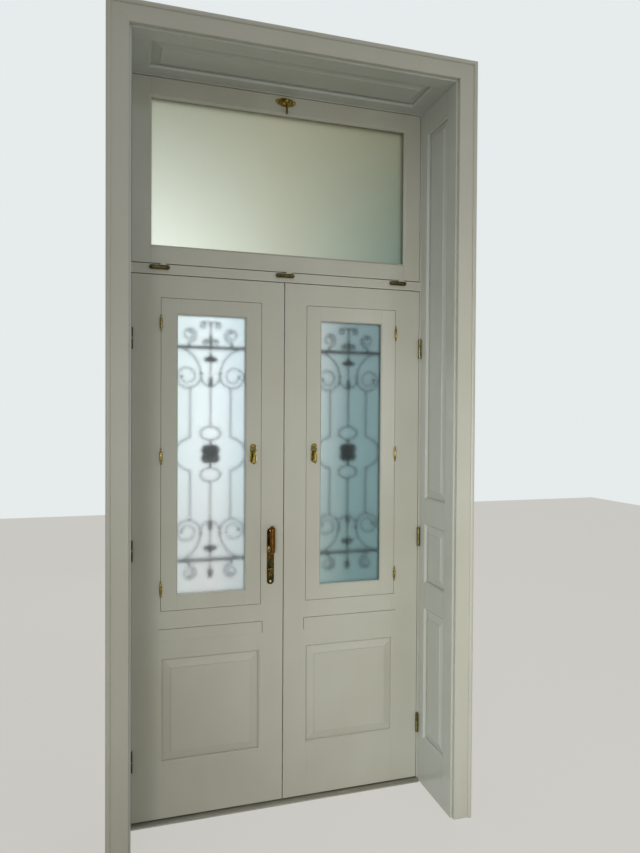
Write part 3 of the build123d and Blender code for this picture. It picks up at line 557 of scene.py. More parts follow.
@dataclass(frozen=True)
class BrushedMetal:
    """Rolled metal, as on a threshold or a lock's face.

    It gives the eye a plain metal sheen with fine scratches along its length. Real scratches are
    far under a pixel, so they are drawn as coarse as they need to show: 1 mm apart on the lock
    and 4 mm on the threshold.
    """

    name: str
    colours: tuple[str, str]
    scratches: Point
    roughness: float
    scratch_depth: float = 0.00008

    def material(self) -> bpy.types.Material:
        """Makes the metal.

        Returns:
            The material.
        """
        material, tree = new_tree(self.name)
        shaded(
            tree,
            {
                "Base Color": clouded(tree, self.scratches, 3.0, (0.35, 0.65), self.colours),
                "Metallic": 1.0,
                "Roughness": uneven(
                    tree, self.scratches, 3.0, self.roughness, self.roughness + 0.14
                ),
                "Normal": raised(tree, self.scratches, 3.0, self.scratch_depth),
            },
        )
        return material


@dataclass
class Form:
    """Surfaces gathered into one mesh, each a grid of points joined by four-sided faces."""

    points: list[Array] = field(default_factory=list)
    faces: list[Array] = field(default_factory=list)
    count: int = 0

    def add(self, grid: Array, loop: bool = False) -> None:
        """Adds a tube-like surface whose columns close round, with its ends closed.

        Args:
            grid: rows along the surface, columns round it, and three coordinates.
            loop: whether the last row joins the first, so that it has no ends.
        """
        if not loop:
            middles = np.broadcast_to(grid.mean(axis=1, keepdims=True), grid.shape)
            grid = np.concatenate([middles[:1], grid, middles[-1:]])
        index = np.arange(grid.shape[0] * grid.shape[1]).reshape(grid.shape[:2]) + self.count
        index = np.concatenate([index, index[:, :1]], axis=1)
        if loop:
            index = np.concatenate([index, index[:1]])
        quads = np.stack([index[:-1, :-1], index[1:, :-1], index[1:, 1:], index[:-1, 1:]], axis=-1)
        self.points.append(grid.reshape(-1, 3))
        self.faces.append(quads.reshape(-1, 4))
        self.count += grid.shape[0] * grid.shape[1]

    def build(self, name: str) -> bpy.types.Object:
        """Makes the object, with doubles merged and faces turned outwards.

        Args:
            name: the piece's name.

        Returns:
            The new object, at the origin.
        """
        mesh = bpy.data.meshes.new(name)
        mesh.from_pydata(np.concatenate(self.points), [], np.concatenate(self.faces).tolist())
        shell = bmesh.new()
        shell.from_mesh(mesh)
        bmesh.ops.remove_doubles(shell, verts=shell.verts, dist=MERGE)
        bmesh.ops.dissolve_degenerate(shell, edges=shell.edges, dist=MERGE)
        bmesh.ops.recalc_face_normals(shell, faces=shell.faces)
        shell.to_mesh(mesh)
        shell.free()
        mesh.polygons.foreach_set("use_smooth", np.ones(len(mesh.polygons), dtype=bool))
        mesh.set_sharp_from_angle(angle=SHARP)
        piece = bpy.data.objects.new(name, mesh)
        bpy.context.scene.collection.objects.link(piece)
        return piece


def dress(
    piece: bpy.types.Object, material: bpy.types.Material, body: str
) -> bpy.types.Object:
    """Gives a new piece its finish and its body.

    Args:
        piece: the object.
        material: its finish.
        body: the body that it moves with.

    Returns:
        The same object.
    """
    piece.data.materials.append(material)
    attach(piece, body)
    log.info("%s rides on %s with %d faces", piece.name, body, len(piece.data.polygons))
    return piece


def squarish(count: int, power: float) -> Array:
    """Points round a rounded square of half-width 1.

    Each is the cosine and sine of an angle, raised to 2 over the power with their signs kept.

    Args:
        count: how many points.
        power: 2 gives a circle, and more gives squarer corners.

    Returns:
        The points, one row each.
    """
    angle = np.linspace(0, 2 * math.pi, count, endpoint=False)
    pair = np.stack([np.cos(angle), np.sin(angle)], axis=1)
    return np.sign(pair) * np.abs(pair) ** (2 / power)


def lathe(
    centre: Point, axis: Point, profile: Array, squash: float = 1.0, count: int = 32
) -> Array:
    """Turns a profile about an axis.

    A point is the centre, plus the axis times the profile's height, plus its radius times the
    cosine and sine of the angle along two directions square to the axis.

    Args:
        centre: where the heights start.
        axis: the direction of the axis, of length 1 and along X, Y or Z.
        profile: rows of height and radius.
        squash: scale of the second cross direction.
        count: points round the axis.

    Returns:
        The grid of points.
    """
    along = np.array(axis, dtype=float)
    first = np.array([0.0, 0.0, 1.0]) if abs(along[2]) < 0.5 else np.array([1.0, 0.0, 0.0])
    second = np.cross(along, first) * squash
    angle = np.linspace(0, 2 * math.pi, count, endpoint=False)[:, None]
    round_it = np.cos(angle) * first + np.sin(angle) * second
    heights = profile[:, 0, None, None] * along
    return np.array(centre) + heights + profile[:, 1, None, None] * round_it


def pebble(
    centre: Point, half: Point, power: float, rows: int = 13, count: int = 24
) -> Array:
    """A rounded block.

    Rows run from one end of Z to the other; each is a rounded square whose size follows the
    cosine of the height angle, raised to 2 over the power.

    Args:
        centre: its middle.
        half: half its size along X, Y and Z.
        power: 2 gives an ellipsoid, and more gives a squarer block.
        rows: rows from end to end.
        count: points round it.

    Returns:
        The grid of points.
    """
    rise = np.linspace(-math.pi / 2, math.pi / 2, rows)
    width = np.abs(np.cos(rise)) ** (2 / power)
    height = np.sign(np.sin(rise)) * np.abs(np.sin(rise)) ** (2 / power)
    ring = squarish(count, power)
    grid = np.zeros((rows, count, 3))
    grid[..., :2] = width[:, None, None] * ring
    grid[..., 2] = height[:, None]
    return np.array(centre) + grid * np.array(half)


def slotted_head(
    centre: Point, axis: Point, radius: float, rise: float, tilt: float, steps: int = 13
) -> Array:
    """A domed screw head with a straight slot across it.

    The height over a disc is the rise times 1 minus the square of the distance from its middle,
    less the slot's depth within the slot's width, whose edges follow a hyperbolic tangent. The
    disc is rings of points round its middle, and the front and the back meet at the rim.

    Args:
        centre: middle of the head on the surface.
        axis: direction that the head faces, along X or Y.
        radius: the head's radius.
        rise: how far the dome stands up.
        tilt: the slot's angle.
        steps: rings from rim to middle.

    Returns:
        The grid of points, rows from the middle of the back to the rim and to that of the front.
    """
    slot_half, slot_edge, slot_depth, back_deep = 0.17, 0.04, 0.8, 0.0002
    reach = np.linspace(1, 0, steps)
    angle = np.linspace(0, 2 * math.pi, 40, endpoint=False)
    across = reach[:, None] * np.cos(angle)
    along = reach[:, None] * np.sin(angle)
    inside = np.minimum(1, (1 - reach) * 6)[:, None]
    slot = 0.5 * (1 - np.tanh((np.abs(across) - slot_half) / slot_edge)) * inside
    height = rise * (1 - reach[:, None] ** 2) - slot * rise * slot_depth
    out = np.array(axis, dtype=float)
    upright = np.array((0.0, 0.0, 1.0))
    side = np.cross(upright, out)
    turned = (
        across * math.cos(tilt) - along * math.sin(tilt),
        across * math.sin(tilt) + along * math.cos(tilt),
    )
    face = radius * (turned[0][..., None] * side + turned[1][..., None] * upright)
    front = np.array(centre) + face + height[..., None] * out
    back = np.array(centre) + face[::-1] - back_deep * out
    return np.concatenate([back, front])


def arc_through(first: Array, middle: Array, last: Array, count: int = 24) -> Array:
    """Points of the circle arc through three points of the plane.

    The centre is as far from each of the three, which gives two linear equations.

    Args:
        first: where the arc starts.
        middle: a point that it passes.
        last: where it ends.
        count: how many points.

    Returns:
        The points, one row each.
    """
    ends = np.array([first, middle, last], dtype=float)
    squares = (ends**2).sum(axis=1)
    centre = np.linalg.solve(2 * (ends[1:] - ends[0]), squares[1:] - squares[0])
    spokes = ends - centre
    angles = np.unwrap(np.arctan2(spokes[:, 1], spokes[:, 0]))
    sweep = np.linspace(angles[0], angles[2], count)
    reach = np.hypot(*spokes[0])
    return centre + reach * np.stack([np.cos(sweep), np.sin(sweep)], axis=1)


def upright_arc(start: Flat, end: Flat) -> Array:
    """Points of the circle arc that leaves a point straight up or down and reaches another.

    Its centre lies level with the start, half the squared distance over the sideways step away.

    Args:
        start: where it leaves.
        end: where it arrives.

    Returns:
        The points, one row each.
    """
    step = np.array(end) - np.array(start)
    radius = float(step @ step) / (2 * step[0])
    first = math.pi if radius > 0 else 0.0
    sweep = np.linspace(first, math.atan2(step[1], step[0] - radius), 20)
    centre = np.array([start[0] + radius, start[1]])
    return centre + abs(radius) * np.stack([np.cos(sweep), np.sin(sweep)], axis=1)


def scroll(
    start: Flat, heading: float, radius: float, turn: int, quarters: int
) -> Array:
    """Points of a band that winds inwards.

    Its radius shrinks by one share at each quarter turn. Each point is the last one moved by the
    chord of a small turn, so the places are running sums of chords.

    Args:
        start: where the scroll starts.
        heading: the angle that it sets off at.
        radius: its first radius.
        turn: 1 winds to the left and -1 to the right.
        quarters: how many quarter turns.

    Returns:
        The points, one row each.
    """
    parts, shrink = 10, 0.86
    small = math.pi / 2 / parts
    step = np.arange(quarters * parts)
    chord = 2 * radius * shrink ** (step // parts) * math.sin(small / 2)
    way = heading + turn * small * (step + 0.5)
    moves = chord[:, None] * np.stack([np.cos(way), np.sin(way)], axis=1)
    return np.concatenate([np.zeros((1, 2)), np.cumsum(moves, axis=0)]) + np.array(start)


@dataclass
class Grille:
    """Wrought-iron grille of one leaf: scrolls, bars, a rosette and balusters on two flat rails.

    Places on it are sideways and upwards from its middle, and it is the same left and right.
    Clasps, crowns and the bead are half sizes along X, Y and Z. Knots, the drop and the boss are
    half a length and a radius, the baluster is a height and a radius, a screw is a radius and a
    rise, and a petal's vein is a width and a depth. A curl's sizes are its height over the rail,
    its run and its radius.
    """

    side: Side
    middle: Point = (0.311, 0.051, 1.524)
    half_deep: float = 0.006
    scroll_deep: float = 0.0042
    half_wide: float = 0.0026
    rail: float = 0.452
    rail_half: float = 0.219
    rail_tall: float = 0.007
    screw_in: float = 0.010
    screw: Flat = (0.0045, 0.0018)
    volute: Flat = (0.095, 0.334)
    volute_radius: float = 0.054
    volute_quarters: int = 6
    volute_drawn: float = 0.72
    volute_eye: float = 0.0065
    arm_run: float = 0.042
    cup: float = 0.286
    bar: float = 0.086
    bow: tuple[Flat, Flat, Flat] = ((0.086, 0.070), (0.132, 0.045), (0.150, 0.0))
    loop: float = 0.088
    loop_half: Flat = (0.0425, 0.0285)
    small: Flat = (0.092, 0.052)
    small_radius: float = 0.031
    small_quarters: int = 6
    small_drawn: float = 0.75
    small_eye: float = 0.0055
    small_stem: float = 0.004
    curl_sizes: tuple[Point, Point] = ((0.108, 0.030, 0.013), (0.034, 0.022, 0.010))
    curl_quarters: int = 4
    curl_eye: float = 0.004
    eye_half: float = 0.0085
    clasp: Point = (0.007, 0.0085, 0.0045)
    clasp_up: float = 0.008
    knot_at: float = 0.306
    knot: Flat = (0.025, 0.0112)
    knot_flat: float = 0.78
    crown_at: float = 0.402
    crown: Point = (0.031, 0.0085, 0.012)
    crown_top_at: float = 0.418
    crown_top: Point = (0.0095, 0.0075, 0.0055)
    baluster: Flat = (0.110, 0.0085)
    baluster_flat: float = 0.8
    bead_up: float = 0.016
    bead: Point = (0.0085, 0.0075, 0.004)
    drop_down: float = 0.060
    drop: Flat = (0.022, 0.0125)
    drop_flat: float = 0.7
    drop_stem: float = 0.045
    petal_out: float = 0.025
    petal: float = 0.021
    petal_rise: float = 0.0085
    vein: Flat = (0.0022, 0.0028)
    boss: Flat = (0.013, 0.011)
    boss_stem: float = 0.005

    def place(self, flat: Array, deep: float | Array = 0.0) -> Array:
        """Puts places on the grille into the frame of the model.

        Args:
            flat: sideways and upwards places, in the last axis.
            deep: how far outwards from the grille's middle.

        Returns:
            The points.
        """
        x = self.side.sign * self.middle[0] + flat[..., 0]
        y = self.middle[1] + deep + np.zeros_like(x)
        return np.stack([x, y, self.middle[2] + flat[..., 1]], axis=-1)

    def spot(self, sideways: float, upwards: float, deep: float = 0.0) -> Point:
        """One place on the grille as a point of the model."""
        return tuple(self.place(np.array([sideways, upwards]), deep).tolist())

    def band(
        self,
        form: Form,
        path: Array,
        wide: float | Array,
        deep: float | None = None,
        loop: bool = False,
    ) -> None:
        """Carries a rounded flat-bar section along a line.

        A point is the line's point, plus the section's first number times the half-width across
        the line, with its second number times the half-depth through the grille.

        Args:
            form: the mesh that it goes into.
            path: the line, one row a point.
            wide: the half-width, alike or point by point.
            deep: the half-depth, or none for that of the rails.
            loop: whether the line closes.
        """
        if loop:
            run = np.roll(path, -1, axis=0) - np.roll(path, 1, axis=0)
        else:
            run = np.gradient(path, axis=0)
        run = run / np.linalg.norm(run, axis=1, keepdims=True)
        half = np.broadcast_to(wide, len(path))[:, None]
        across = np.stack([-run[:, 1], run[:, 0]], axis=1) * half
        ring = squarish(16, 5.0)
        flat = path[:, None, :] + ring[None, :, :1] * across[:, None, :]
        form.add(self.place(flat, ring[None, :, 1] * (deep or self.half_deep)), loop)

    def four(self, form: Form, path: Array, wide: Array | None = None) -> None:
        """Repeats a scroll's band in the four quarters of the grille.

        Args:
            form: the mesh that it goes into.
            path: the line in the upper right quarter.
            wide: the half-width point by point, or none for the usual one.
        """
        for flip in QUARTERS:
            half = self.half_wide if wide is None else wide
            self.band(form, path * np.array(flip), half, self.scroll_deep)

    def eye(self, form: Form, at: Array, radius: float) -> None:
        """A round button where a scroll ends, domed on both faces.

        Its radius is scaled by the root of 1 minus the fourth power of the place through it.

        Args:
            form: the mesh that it goes into.
            at: its middle on the grille.
            radius: its largest radius.
        """
        rise = np.linspace(-1, 1, 13)
        profile = np.stack([rise * self.eye_half, radius * np.sqrt(1 - rise**4 * 0.999)], axis=1)
        form.add(lathe(self.spot(float(at[0]), float(at[1])), (0, 1, 0), profile, 1.0, 20))

    def curls(self, form: Form, tall: float, run: float, radius: float) -> None:
        """A pair of little arms that leave the upper baluster and curl down at their ends.

        Args:
            form: the mesh that they go into.
            tall: their height over the upper rail.
            run: how far out they start to curl.
            radius: the curl's first radius.
        """
        start = (run, self.rail + tall)
        arm = np.linspace((0.0, start[1]), start, 6)[:-1]
        path = np.concatenate([arm, scroll(start, 0.0, radius, -1, self.curl_quarters)])
        for flip in (1, -1):
            turned = path * np.array((flip, 1))
            self.band(form, turned, self.half_wide, self.scroll_deep)
            self.eye(form, turned[-1], self.curl_eye)

    def small_scrolls(self, form: Form, way: int) -> None:
        """The two small scrolls that stand on a rail on short stems.

        Args:
            form: the mesh that they go into.
            way: 1 over the upper rail and -1 under the lower one.
        """
        foot = self.rail + self.small[1] - self.small_radius
        start = (self.small[0], way * foot)
        path = scroll(start, math.pi, self.small_radius, -way, self.small_quarters)
        drawn = np.linspace(1.0, self.small_drawn, len(path)) * self.half_wide
        for flip in (1, -1):
            turned = path * np.array((flip, 1))
            self.band(form, turned, drawn, self.scroll_deep)
            self.eye(form, turned[-1], self.small_eye)
            stem = np.linspace((flip * self.small[0], way * self.rail), turned[0], 4)
            self.band(form, stem, self.small_stem)

    def scrolls(self) -> bpy.types.Object:
        """The big scrolls with their arms, the bowed bars, the small scrolls and the curls.

        Returns:
            The new object.
        """
        form = Form()
        start = (self.volute[0] - self.volute_radius, self.volute[1])
        path = scroll(start, -math.pi / 2, self.volute_radius, 1, self.volute_quarters)
        self.four(form, path, np.linspace(1.0, self.volute_drawn, len(path)) * self.half_wide)
        self.four(form, upright_arc(start, (self.volute[0] + self.arm_run, self.rail)))
        self.four(form, upright_arc(start, (0.0, self.cup)))
        top = self.volute[1] - self.volute_radius
        self.four(form, np.linspace((self.bar, self.bow[0][1]), (self.bar, top), 12))
        self.four(form, arc_through(*(np.array(point) for point in self.bow)))
        for flip in QUARTERS:
            self.eye(form, path[-1] * np.array(flip), self.volute_eye)
        for way in (1, -1):
            self.small_scrolls(form, way)
        for tall, run, radius in self.curl_sizes:
            self.curls(form, tall, run, radius)
        return form.build(f"{self.side.label}_grille_scrolls")

    def rails(self) -> bpy.types.Object:
        """The two flat rails, the bar up the middle and the loops either side of the rosette.

        Returns:
            The new object.
        """
        form = Form()
        turn = np.linspace(0, 2 * math.pi, 48, endpoint=False)[:, None]
        oval = np.concatenate([np.cos(turn), np.sin(turn)], axis=1) * np.array(self.loop_half)
        for way in (1, -1):
            ends = ((-self.rail_half, way * self.rail), (self.rail_half, way * self.rail))
            self.band(form, np.linspace(*ends, 40), self.rail_tall)
            bar = ((0.0, way * (self.loop + self.loop_half[1])), (0.0, way * self.rail))
            self.band(form, np.linspace(*bar, 20), self.half_wide)
            self.band(form, oval + np.array((0.0, way * self.loop)), self.half_wide, loop=True)
            for end in (1, -1):
                out = end * (self.rail_half - self.screw_in)
                spot = self.spot(out, way * self.rail, self.half_deep)
                form.add(slotted_head(spot, (0, 1, 0), *self.screw, 0.9 * end + way))
        return form.build(f"{self.side.label}_grille_rails")

    def finials(self, form: Form) -> None:
        """The baluster and bead on the upper rail, and the drop on its stem under the lower one.

        The baluster's radius swells by a sine of its height, which fades upwards, and closes at
        both ends by the eighth power of the distance from its middle. The drop's radius is the
        root of 1 minus the square of the height, a little more above than below.

        Args:
            form: the mesh that they go into.
        """
        tall = np.linspace(0, 1, 61)
        swell = 0.62 + 0.38 * np.sin(2.6 * math.pi * tall - 0.7) * (1 - 0.35 * tall)
        vase = self.baluster[1] * swell
        vase = vase * np.clip(1 - ((tall - 0.5) / 0.5) ** 8, 0.05, None)
        profile = np.stack([tall * self.baluster[0], vase], axis=1)
        form.add(lathe(self.spot(0.0, self.rail), (0, 0, 1), profile, self.baluster_flat))
        form.add(pebble(self.spot(0.0, self.rail + self.bead_up), self.bead, 3.0))
        rise = np.linspace(-1, 1, 41)
        body = np.sqrt(np.clip(1 - rise**2, 0, None))
        profile = np.stack(
            [rise * self.drop[0], self.drop[1] * body * (1 + 0.18 * rise)], axis=1
        )
        middle = self.spot(0.0, -self.rail - self.drop_down)
        form.add(lathe(middle, (0, 0, 1), profile, self.drop_flat))
        stem = ((0.0, -self.rail - self.drop_stem), (0.0, -self.rail))
        self.band(form, np.linspace(*stem, 6), self.half_wide)

    def collars(self) -> bpy.types.Object:
        """The forged clasps, knots and crowns on the bars, with the baluster and the drop.

        A knot's radius is the root of 1 minus the square of the height, with two rings that each
        follow a bell curve.

        Returns:
            The new object.
        """
        form = Form()
        inner = self.volute[0] - self.volute_radius
        for across in (1, -1):
            for way in (1, -1):
                spot = self.spot(across * inner, way * (self.volute[1] + self.clasp_up))
                form.add(pebble(spot, self.clasp, 4.0))
        rise = np.linspace(-1, 1, 41)
        body = np.sqrt(np.clip(1 - rise**2, 0, None))
        rings = 0.24 * np.exp(-((np.abs(rise) - 0.62) ** 2) / 0.006)
        radius = self.knot[1] * (body * 0.86 + rings * body)
        profile = np.stack([rise * self.knot[0], radius], axis=1)
        for way in (1, -1):
            knot = self.spot(0.0, way * self.knot_at)
            form.add(lathe(knot, (0, 0, 1), profile, self.knot_flat))
            form.add(pebble(self.spot(0.0, way * self.crown_at), self.crown, 2.2, 15, 32))
            form.add(pebble(self.spot(0.0, way * self.crown_top_at), self.crown_top, 2.0))
        self.finials(form)
        return form.build(f"{self.side.label}_grille_collars")

    def rosette(self) -> bpy.types.Object:
        """The four-leaf rosette with its boss, on its stem.

        A leaf is a disc drawn to a point outwards; its height over the disc is the root of 1
        minus the square of the distance from its middle, less a vein along its length. The boss's
        radius is scaled by the root of 1 minus the sixth power of the place through it.

        Returns:
            The new object.
        """
        form = Form()
        reach = np.linspace(0.02, 1, 12)
        turn = np.linspace(0, 2 * math.pi, 36, endpoint=False)
        shape = 1 + 0.10 * np.cos(turn) - 0.06 * np.cos(2 * turn)
        along = reach[:, None] * np.cos(turn) * shape * self.petal
        aside = reach[:, None] * np.sin(turn) * shape * self.petal
        dome = self.petal_rise * np.sqrt(1 - reach**2 * 0.98)[:, None]
        wide, deep = self.vein
        vein = deep * np.exp(-((aside / wide) ** 2)) * (1 - reach**2)[:, None]
        for angle in np.radians([45, 135, 225, 315]):
            out = np.array([math.cos(angle), math.sin(angle)])
            cross = np.array([-out[1], out[0]])
            flat = (along[..., None] + self.petal_out) * out + aside[..., None] * cross
            front = self.place(flat, -(dome - vein))
            back = self.place(flat[::-1], (dome - vein)[::-1])
            form.add(np.concatenate([front, back]))
        rise = np.linspace(-1, 1, 25)
        profile = np.stack(
            [rise * self.boss[0], self.boss[1] * np.sqrt(1 - rise**6 * 0.999)], axis=1
        )
        form.add(lathe(self.spot(0.0, 0.0), (0, 1, 0), profile, 1.0, 28))
        gap = self.loop - self.loop_half[1]
        self.band(form, np.linspace((0.0, -gap), (0.0, gap), 8), self.boss_stem)
        return form.build(f"{self.side.label}_grille_rosette")

    def make(self, iron: bpy.types.Material) -> None:
        """Builds and dresses the grille's four pieces.

        Args:
            iron: their finish.
        """
        node = f"{self.side.label}_grille"
        for piece in (self.scrolls(), self.rails(), self.collars(), self.rosette()):
            dress(piece, iron, f"{self.side.label}_leaf")
            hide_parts(node)


class Outline(Enum):
    """The outline of a latch plate."""

    OVAL = "oval"
    LONG = "long, with straight sides and round ends"


@dataclass
class Latch:
    """Trim of a turn latch: a plate with a raised rim, slotted screws and a collar at its boss.

    The plate's middle lies below the spindle by the drop. Its section runs from the hole to the
    rim and back: shares of the way out, and heights as shares of the thickness. The collar's
    steps are heights and radii.
    """

    name: str
    body: str
    spindle: Point
    half: Flat
    outline: Outline
    drop: float = 0.0
    hole: float = 0.0044
    thickness: float = 0.0025
    ways: tuple[float, ...] = (0.0, 0.0, 0.1, 0.5, 0.8, 0.845, 0.885, 0.93, 0.968, 1.0, 1.0)
    heights: tuple[float, ...] = (0.0, 1.0, 1.02, 0.96, 0.72, 0.7, 0.98, 1.04, 0.9, 0.5, 0.0)
    screw_in: float = 0.0085
    screw: Flat = (0.0042, 0.0013)
    steps: tuple[Flat, ...] = (
        (0.0, 0.0130),
        (0.0012, 0.0132),
        (0.0022, 0.0124),
        (0.0026, 0.0112),
        (0.0040, 0.0108),
        (0.0050, 0.0098),
        (0.0056, 0.0084),
        (0.0056, 0.0080),
    )

    def rim(self, turn: Array) -> Array:
        """Places on the plate's outline from its middle.

        The oval is a circle scaled both ways. The long outline is a circle whose upper and lower
        halves are moved apart, so that straight sides join them.

        Args:
            turn: angles round the plate.

        Returns:
            The places, one row each.
        """
        ring = np.stack([np.cos(turn), np.sin(turn)], axis=1)
        if self.outline is Outline.OVAL:
            return ring * np.array(self.half)
        apart = np.sign(np.round(ring[:, 1], 6)) * (self.half[1] - self.half[0])
        return ring * self.half[0] + np.stack([np.zeros_like(apart), apart], axis=1)

    def plate(self) -> bpy.types.Object:
        """The plate, its section closed round from the hole to the rim and back.

        A point lies between a circle at the hole and the outline at the rim, by the section's
        share, and stands out from the wood by its height.

        Returns:
            The new object.
        """
        turn = np.linspace(0, 2 * math.pi, 96, endpoint=False)
        ring = np.stack([np.cos(turn), np.sin(turn)], axis=1)
        rim = self.rim(turn) + np.array((0.0, -self.drop))
        share = np.array(self.ways)[:, None, None]
        flat = ring * self.hole * (1 - share) + rim * share
        grid = np.zeros((len(self.ways), len(turn), 3))
        grid[..., 0] = self.spindle[0] + flat[..., 0]
        grid[..., 1] = self.spindle[1] - np.array(self.heights)[:, None] * self.thickness
        grid[..., 2] = self.spindle[2] + flat[..., 1]
        form = Form()
        form.add(grid, loop=True)
        return form.build(f"{self.name}_rimmed_plate")

    def fixings(self) -> bpy.types.Object:
        """Two slotted screw heads on the long axis.

        Returns:
            The new object.
        """
        form = Form()
        upright = self.half[1] > self.half[0]
        for way in (1, -1):
            out = way * (max(self.half) - self.screw_in)
            x, z = (0.0, out - self.drop) if upright else (out, 0.0)
            spot = (
                self.spindle[0] + x,
                self.spindle[1] - self.thickness * 0.8,
                self.spindle[2] + z,
            )
            form.add(slotted_head(spot, (0, -1, 0), *self.screw, 0.5 + way * 0.4))
        return form.build(f"{self.name}_screws")

    def collar(self) -> bpy.types.Object:
        """The stepped and beaded collar that the spindle boss stands in.

        Returns:
            The new object.
        """
        start = (self.spindle[0], self.spindle[1] - self.thickness * 0.9, self.spindle[2])
        form = Form()
        form.add(lathe(start, (0, -1, 0), np.array(self.steps), 1.0, 40))
        return form.build(f"{self.name}_collar")

    def make(self, brass: bpy.types.Material, plate_node: str, latch_body: str) -> None:
        """Builds and dresses the latch's pieces.

        Args:
            brass: the finish.
            plate_node: the CAD plate that the new plate stands for.
            latch_body: the body that turns.
        """
        plate = dress(self.plate(), brass, self.body)
        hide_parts(plate_node)
        dress(self.fixings(), brass, self.body)
        dress(self.collar(), brass, latch_body)


@dataclass
class HandleSet:
    """Collars, screws and cylinder face of the long-plate handle set on the left leaf.

    The faces are the two plates' places along Y and the ways that they face. The collars' steps
    are heights and radii.
    """

    x: float = -0.058
    lever_z: float = 1.112
    cylinder_z: float = 1.020
    screw_z: Flat = (0.971, 1.190)
    screw: Flat = (0.0042, 0.0011)
    faces: tuple[tuple[float, int], ...] = ((-0.003, -1), (0.048, 1))
    keyway: Point = (0.0009, 0.0004, 0.0045)
    keyway_y: float = 0.0511
    keyway_down: float = 0.001
    steps: tuple[Flat, ...] = (
        (0.0, 0.0148),
        (0.0016, 0.0150),
        (0.0030, 0.0140),
        (0.0036, 0.0124),
        (0.0060, 0.0119),
        (0.0072, 0.0108),
        (0.0078, 0.0096),
        (0.0078, 0.0092),
    )

    def collars(self) -> bpy.types.Object:
        """Stepped collars round the levers' necks.

        Returns:
            The new object.
        """
        form = Form()
        profile = np.array(self.steps)
        for face, way in self.faces:
            form.add(lathe((self.x, face, self.lever_z), (0, way, 0), profile, 1.0, 40))
        return form.build("lever_collars")

    def screws(self) -> bpy.types.Object:
        """Raised slotted heads of the plates' four screws.

        Returns:
            The new object.
        """
        form = Form()
        for face, way in self.faces:
            for step, z in enumerate(self.screw_z):
                form.add(slotted_head((self.x, face, z), (0, way, 0), *self.screw, 0.3 + step))
        return form.build("handle_screw_heads")

    def keyhole(self) -> bpy.types.Object:
        """The dark keyway of the cylinder's outer face.

        Returns:
            The new object.
        """
        form = Form()
        middle = (self.x, self.keyway_y, self.cylinder_z - self.keyway_down)
        form.add(pebble(middle, self.keyway, 5.0))
        return form.build("cylinder_keyway")

    def make(self, brass: bpy.types.Material, steel: bpy.types.Material) -> None:
        """Builds and dresses the handle set's pieces.

        Args:
            brass: finish of the collars and screws.
            steel: finish of the keyway.
        """
        dress(self.collars(), brass, "left_leaf")
        dress(self.screws(), brass, "left_leaf")
        dress(self.keyhole(), steel, "left_leaf")


@dataclass
class HingeScrews:
    """Countersunk screws in the hinge flaps, on the leaves' edges and on the jambs.

    Each flap's places are heights from the hinge's joint and depths along Y.
    """

    side: Side
    heights: Point = (0.269, 1.1335, 1.998)
    places: tuple[Flat, Flat, Flat] = ((0.008, 0.010), (0.020, 0.021), (0.032, 0.010))
    leaf_edge: float = 0.638
    jamb_edge: float = 0.641
    screw: Flat = (0.0034, 0.0006)

    def heads(self, edge: float, facing: int, way: int, name: str) -> bpy.types.Object:
        """Three heads a hinge on one flap.

        Args:
            edge: X of the flap's face.
            facing: 1 where it faces outwards from the meeting line, -1 where it faces inwards.
            way: 1 for the flaps above the hinge joint and -1 for those below.
            name: the piece's name.

        Returns:
            The new object.
        """
        form = Form()
        out = (float(self.side.sign * facing), 0.0, 0.0)
        for height in self.heights:
            for number, (rise, deep) in enumerate(self.places):
                spot = (self.side.sign * edge, deep, height + way * rise)
                form.add(slotted_head(spot, out, *self.screw, 0.4 + number, 9))
        return form.build(name)

    def make(self, brass: bpy.types.Material) -> None:
        """Builds and dresses the screws of one leaf and its jamb.

        Args:
            brass: their finish.
        """
        label = self.side.label
        leaf = self.heads(self.leaf_edge, 1, 1, f"{label}_leaf_hinge_screws")
        jamb = self.heads(self.jamb_edge, -1, -1, f"{label}_jamb_hinge_screws")
        dress(leaf, brass, f"{label}_leaf")
        dress(jamb, brass, "frame")


